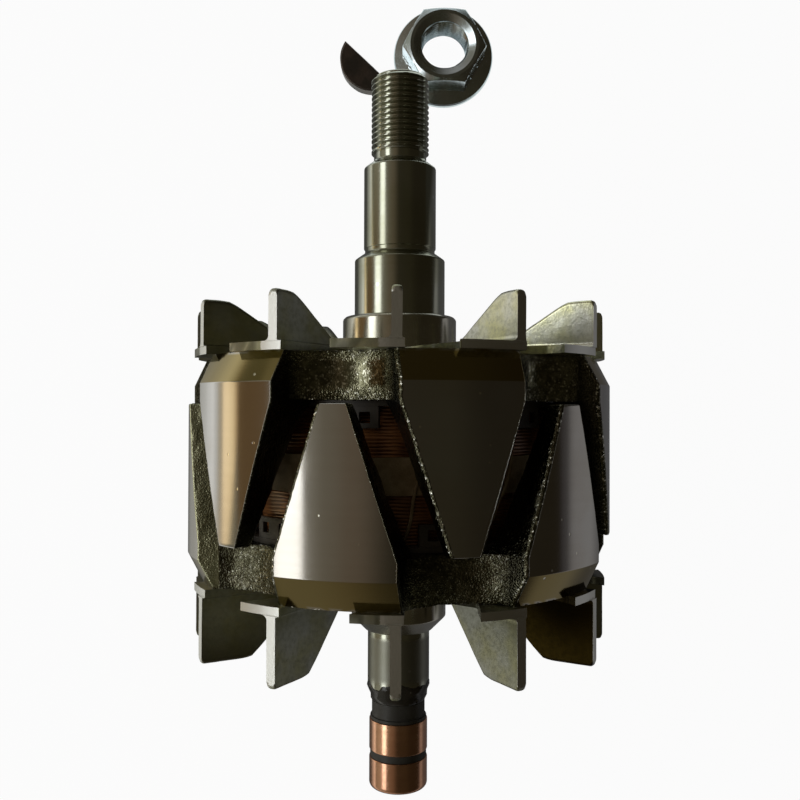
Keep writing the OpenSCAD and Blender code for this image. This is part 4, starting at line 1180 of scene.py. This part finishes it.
# Blade darkness: painted shade on the drive blades on the light's side, whose seen faces turn away from it;
# the rear fan is darker, more so towards the floor, and one blade is painted near black as the shadow of its
# neighbour
fan("drive_end_pressing", "drive_end_fan", DRIVE_FAN_BACK, 1, 0.5 - 0.6 * np.sin(BLADE_ANGLE),
    np.where(np.sin(BLADE_ANGLE) < 0.1, 2.0, 20.0), seed=31, **DRIVE_BLADE)
fan("slip_ring_end_pressing", "slip_ring_end_fan", REAR_FAN_BACK, -1,
    1 - 0.2 * np.cos(BLADE_ANGLE) + 1.2 * (np.arange(BLADES) == SHADOWED_BLADE),
    np.where(np.cos(BLADE_ANGLE) > 0.9, 1.0, 20.0), seed=43, **REAR_BLADE)
shaft()
collars()
slip_rings()
winding()
leads()
nut()
loose_key()
plain_nodes()


# Floor, light and camera, in metres
CAMERA = dict(place=(0.0002, -0.0257, 0.2503), turn=(0.0114, 0.0, 0.0034), lens=40.5, sensor=36.0)
WINDOW = dict(place=(-0.729, -0.03, 0.488), aim=(0, -0.03, 0.05), size=(1.0, 0.255), power=1.75,
              tint=(0.97, 1.0, 1.01))

# Painted reflections: what the metal mirrors of the glowing floor, by place across it, and of the sky,
# by the way's share across
FLOOR_SHADES = [
    (-3.0, 0.5, 0.33, 0.15), (-1.9, 0.79, 0.55, 0.28), (-0.95, 1.3, 1.0, 0.55), (-0.6, 1.5, 1.17, 0.68),
    (-0.46, 1.5, 1.17, 0.7), (-0.39, 0.6, 0.5, 0.34), (-0.35, 0.6, 0.52, 0.38), (-0.29, 0.82, 0.81, 0.75),
    (-0.25, 1.1, 1.09, 1.03), (-0.21, 0.95, 0.95, 0.9), (-0.18, 0.75, 0.75, 0.7), (-0.15, 0.6, 0.6, 0.56),
    (-0.11, 0.4, 0.4, 0.37), (-0.07, 0.08, 0.08, 0.074), (0.05, 0.085, 0.084, 0.086),
    (0.12, 0.09, 0.089, 0.09), (0.21, 0.255, 0.252, 0.25), (0.38, 0.255, 0.25, 0.25),
    (0.9, 0.07, 0.066, 0.066), (3.0, 0.04, 0.036, 0.036)]
SKY_SHADES = [
    (-0.72, 0.24, 0.225, 0.18), (-0.6, 0.18, 0.16, 0.12), (-0.4, 0.15, 0.12, 0.085),
    (-0.02, 0.035, 0.030, 0.019), (0.4, 0.034, 0.029, 0.017), (0.75, 0.022, 0.018, 0.011)]
FLOOR_SIDE, FLOOR_GAP, SHADOW_SHARE = 4.0, 0.00005, 0.04


def floor():
    """A wide pale sheet. It looks white to the camera and keeps a small share of the shadow. To glossy rays
    it glows with painted reflections: paper that is bright towards the window, in a stretch brighter than
    white, striped by what stands there, and dim away from it. The stripes are mirrored by the poles alone,
    and a painted pale patch on the paper beyond the threaded end is mirrored by the nut."""
    material = bpy.data.materials.new("pale_floor")
    material.use_nodes = True
    tree = material.node_tree
    shader = tree.nodes["Principled BSDF"]
    shader.inputs["Base Color"].default_value = rgb(0.8, 0.8, 0.79)
    shader.inputs["Roughness"].default_value = 0.9
    ray = add_node(tree, "ShaderNodeLightPath").outputs
    place = axes(tree, object_place(tree))
    painted_reflection = ramp(tree, place["X"], FLOOR_SHADES)
    # The painted stripes fade beyond the poles' reach along the shaft, so that only the poles mirror them
    ends = larger(tree, step(tree, place["Y"], 0.10, 0.15), step(tree, place["Y"], -0.12, -0.2))
    ends = times(tree, ends, step(tree, place["X"], -0.3, -0.4))
    painted_reflection = blend(tree, ends, painted_reflection, rgb(0.2, 0.195, 0.145))
    # A painted dark stretch past the threaded end, for the thread to mirror
    ends = times(tree, step(tree, place["Y"], 0.05, 0.075), step(tree, place["X"], 0.0, 0.1))
    painted_reflection = blend(tree, ends, painted_reflection, rgb(0.03, 0.028, 0.022))
    # A painted pale patch beside the nut, for the nut to mirror
    beside = maths(tree, "ABSOLUTE", maths(tree, "SUBTRACT", place["X"], 0.005))
    beside = times(tree, step(tree, beside, 0.08, 0.05), step(tree, place["Y"], 0.066, 0.08))
    painted_reflection = blend(tree, beside, painted_reflection, rgb(0.80, 0.86, 0.84))
    seen = larger(tree, ray["Is Camera Ray"], ray["Is Transmission Ray"])
    seen = larger(tree, times(tree, seen, 1 - SHADOW_SHARE), ray["Is Glossy Ray"])
    colour = blend(tree, ray["Is Glossy Ray"], rgb(1, 1, 1), painted_reflection)
    glow = add_node(tree, "ShaderNodeEmission", Color=colour, Strength=1.0)
    mixed = add_node(tree, "ShaderNodeMixShader", i0=seen, i1=shader.outputs[0], i2=glow.outputs[0])
    tree.links.new(mixed.outputs[0], tree.nodes["Material Output"].inputs["Surface"])
    mesh = bpy.data.meshes.new("pale_floor")
    ground = FLOOR * MM - FLOOR_GAP
    corners = [(FLOOR_SIDE * x, FLOOR_SIDE * y, ground) for x, y in ((-1, -1), (1, -1), (1, 1), (-1, 1))]
    mesh.from_pydata(corners, [], [(0, 1, 2, 3)])
    sheet = bpy.data.objects.new("pale_floor", mesh)
    bpy.context.scene.collection.objects.link(sheet)
    mesh.materials.append(material)


def lamp(name, place, aim, size, power, tint):
    """A soft rectangular lamp that faces a point."""
    light = bpy.data.lights.new(name, "AREA")
    light.shape = "RECTANGLE"
    light.size, light.size_y = size
    light.energy = power
    light.color = tint
    made = bpy.data.objects.new(name, light)
    made.location = place
    way = np.array(aim) - np.array(place)
    flat = np.hypot(way[0], way[1])
    made.rotation_euler = (np.arctan2(flat, -way[2]), 0, np.arctan2(way[1], way[0]) - np.pi / 2)
    bpy.context.scene.collection.objects.link(made)


def world():
    """Dim warm surroundings: paler above the window, brown below it where the poles mirror it, and paler low
    down beyond the shaft's ends. The camera sees white."""
    scene_world = bpy.data.worlds.new("studio")
    bpy.context.scene.world = scene_world
    scene_world.use_nodes = True
    tree = scene_world.node_tree
    way = axes(tree, add_node(tree, "ShaderNodeTexCoord").outputs["Generated"])
    x, y, z = (way[axis] for axis in "XYZ")
    colour = ramp(tree, x, SKY_SHADES)
    wall = times(tree, step(tree, x, -0.5, -0.8), step(tree, z, 0.40, 0.32))
    beyond = step(tree, maths(tree, "ABSOLUTE", y), 0.15, 0.33)
    colour = blend(tree, wall, colour, blend(tree, beyond, rgb(0.165, 0.10, 0.042), rgb(0.36, 0.35, 0.28)))
    ends = times(tree, step(tree, maths(tree, "ABSOLUTE", y), 0.5, 0.95), step(tree, z, 0.5, 0.15))
    ends = times(tree, ends, step(tree, x, 0.35, -0.25))
    colour = blend(tree, ends, colour, rgb(0.30, 0.29, 0.27))
    ray = add_node(tree, "ShaderNodeLightPath").outputs
    seen = larger(tree, ray["Is Camera Ray"], ray["Is Transmission Ray"])
    colour = blend(tree, seen, colour, rgb(0.965, 0.965, 0.965))
    tree.links.new(colour, tree.nodes["Background"].inputs["Color"])


def camera(place, turn, lens, sensor):
    """Straight down on the rotor, tilted a little, as the photograph was taken."""
    data = bpy.data.cameras.new("photo_camera")
    data.sensor_width = sensor
    data.lens = lens
    made = bpy.data.objects.new("photo_camera", data)
    made.location = place
    made.rotation_euler = turn
    bpy.context.scene.collection.objects.link(made)
    bpy.context.scene.camera = made


floor()
lamp("window", **WINDOW)
world()
camera(**CAMERA)
bpy.context.scene.view_settings.view_transform = "Standard"
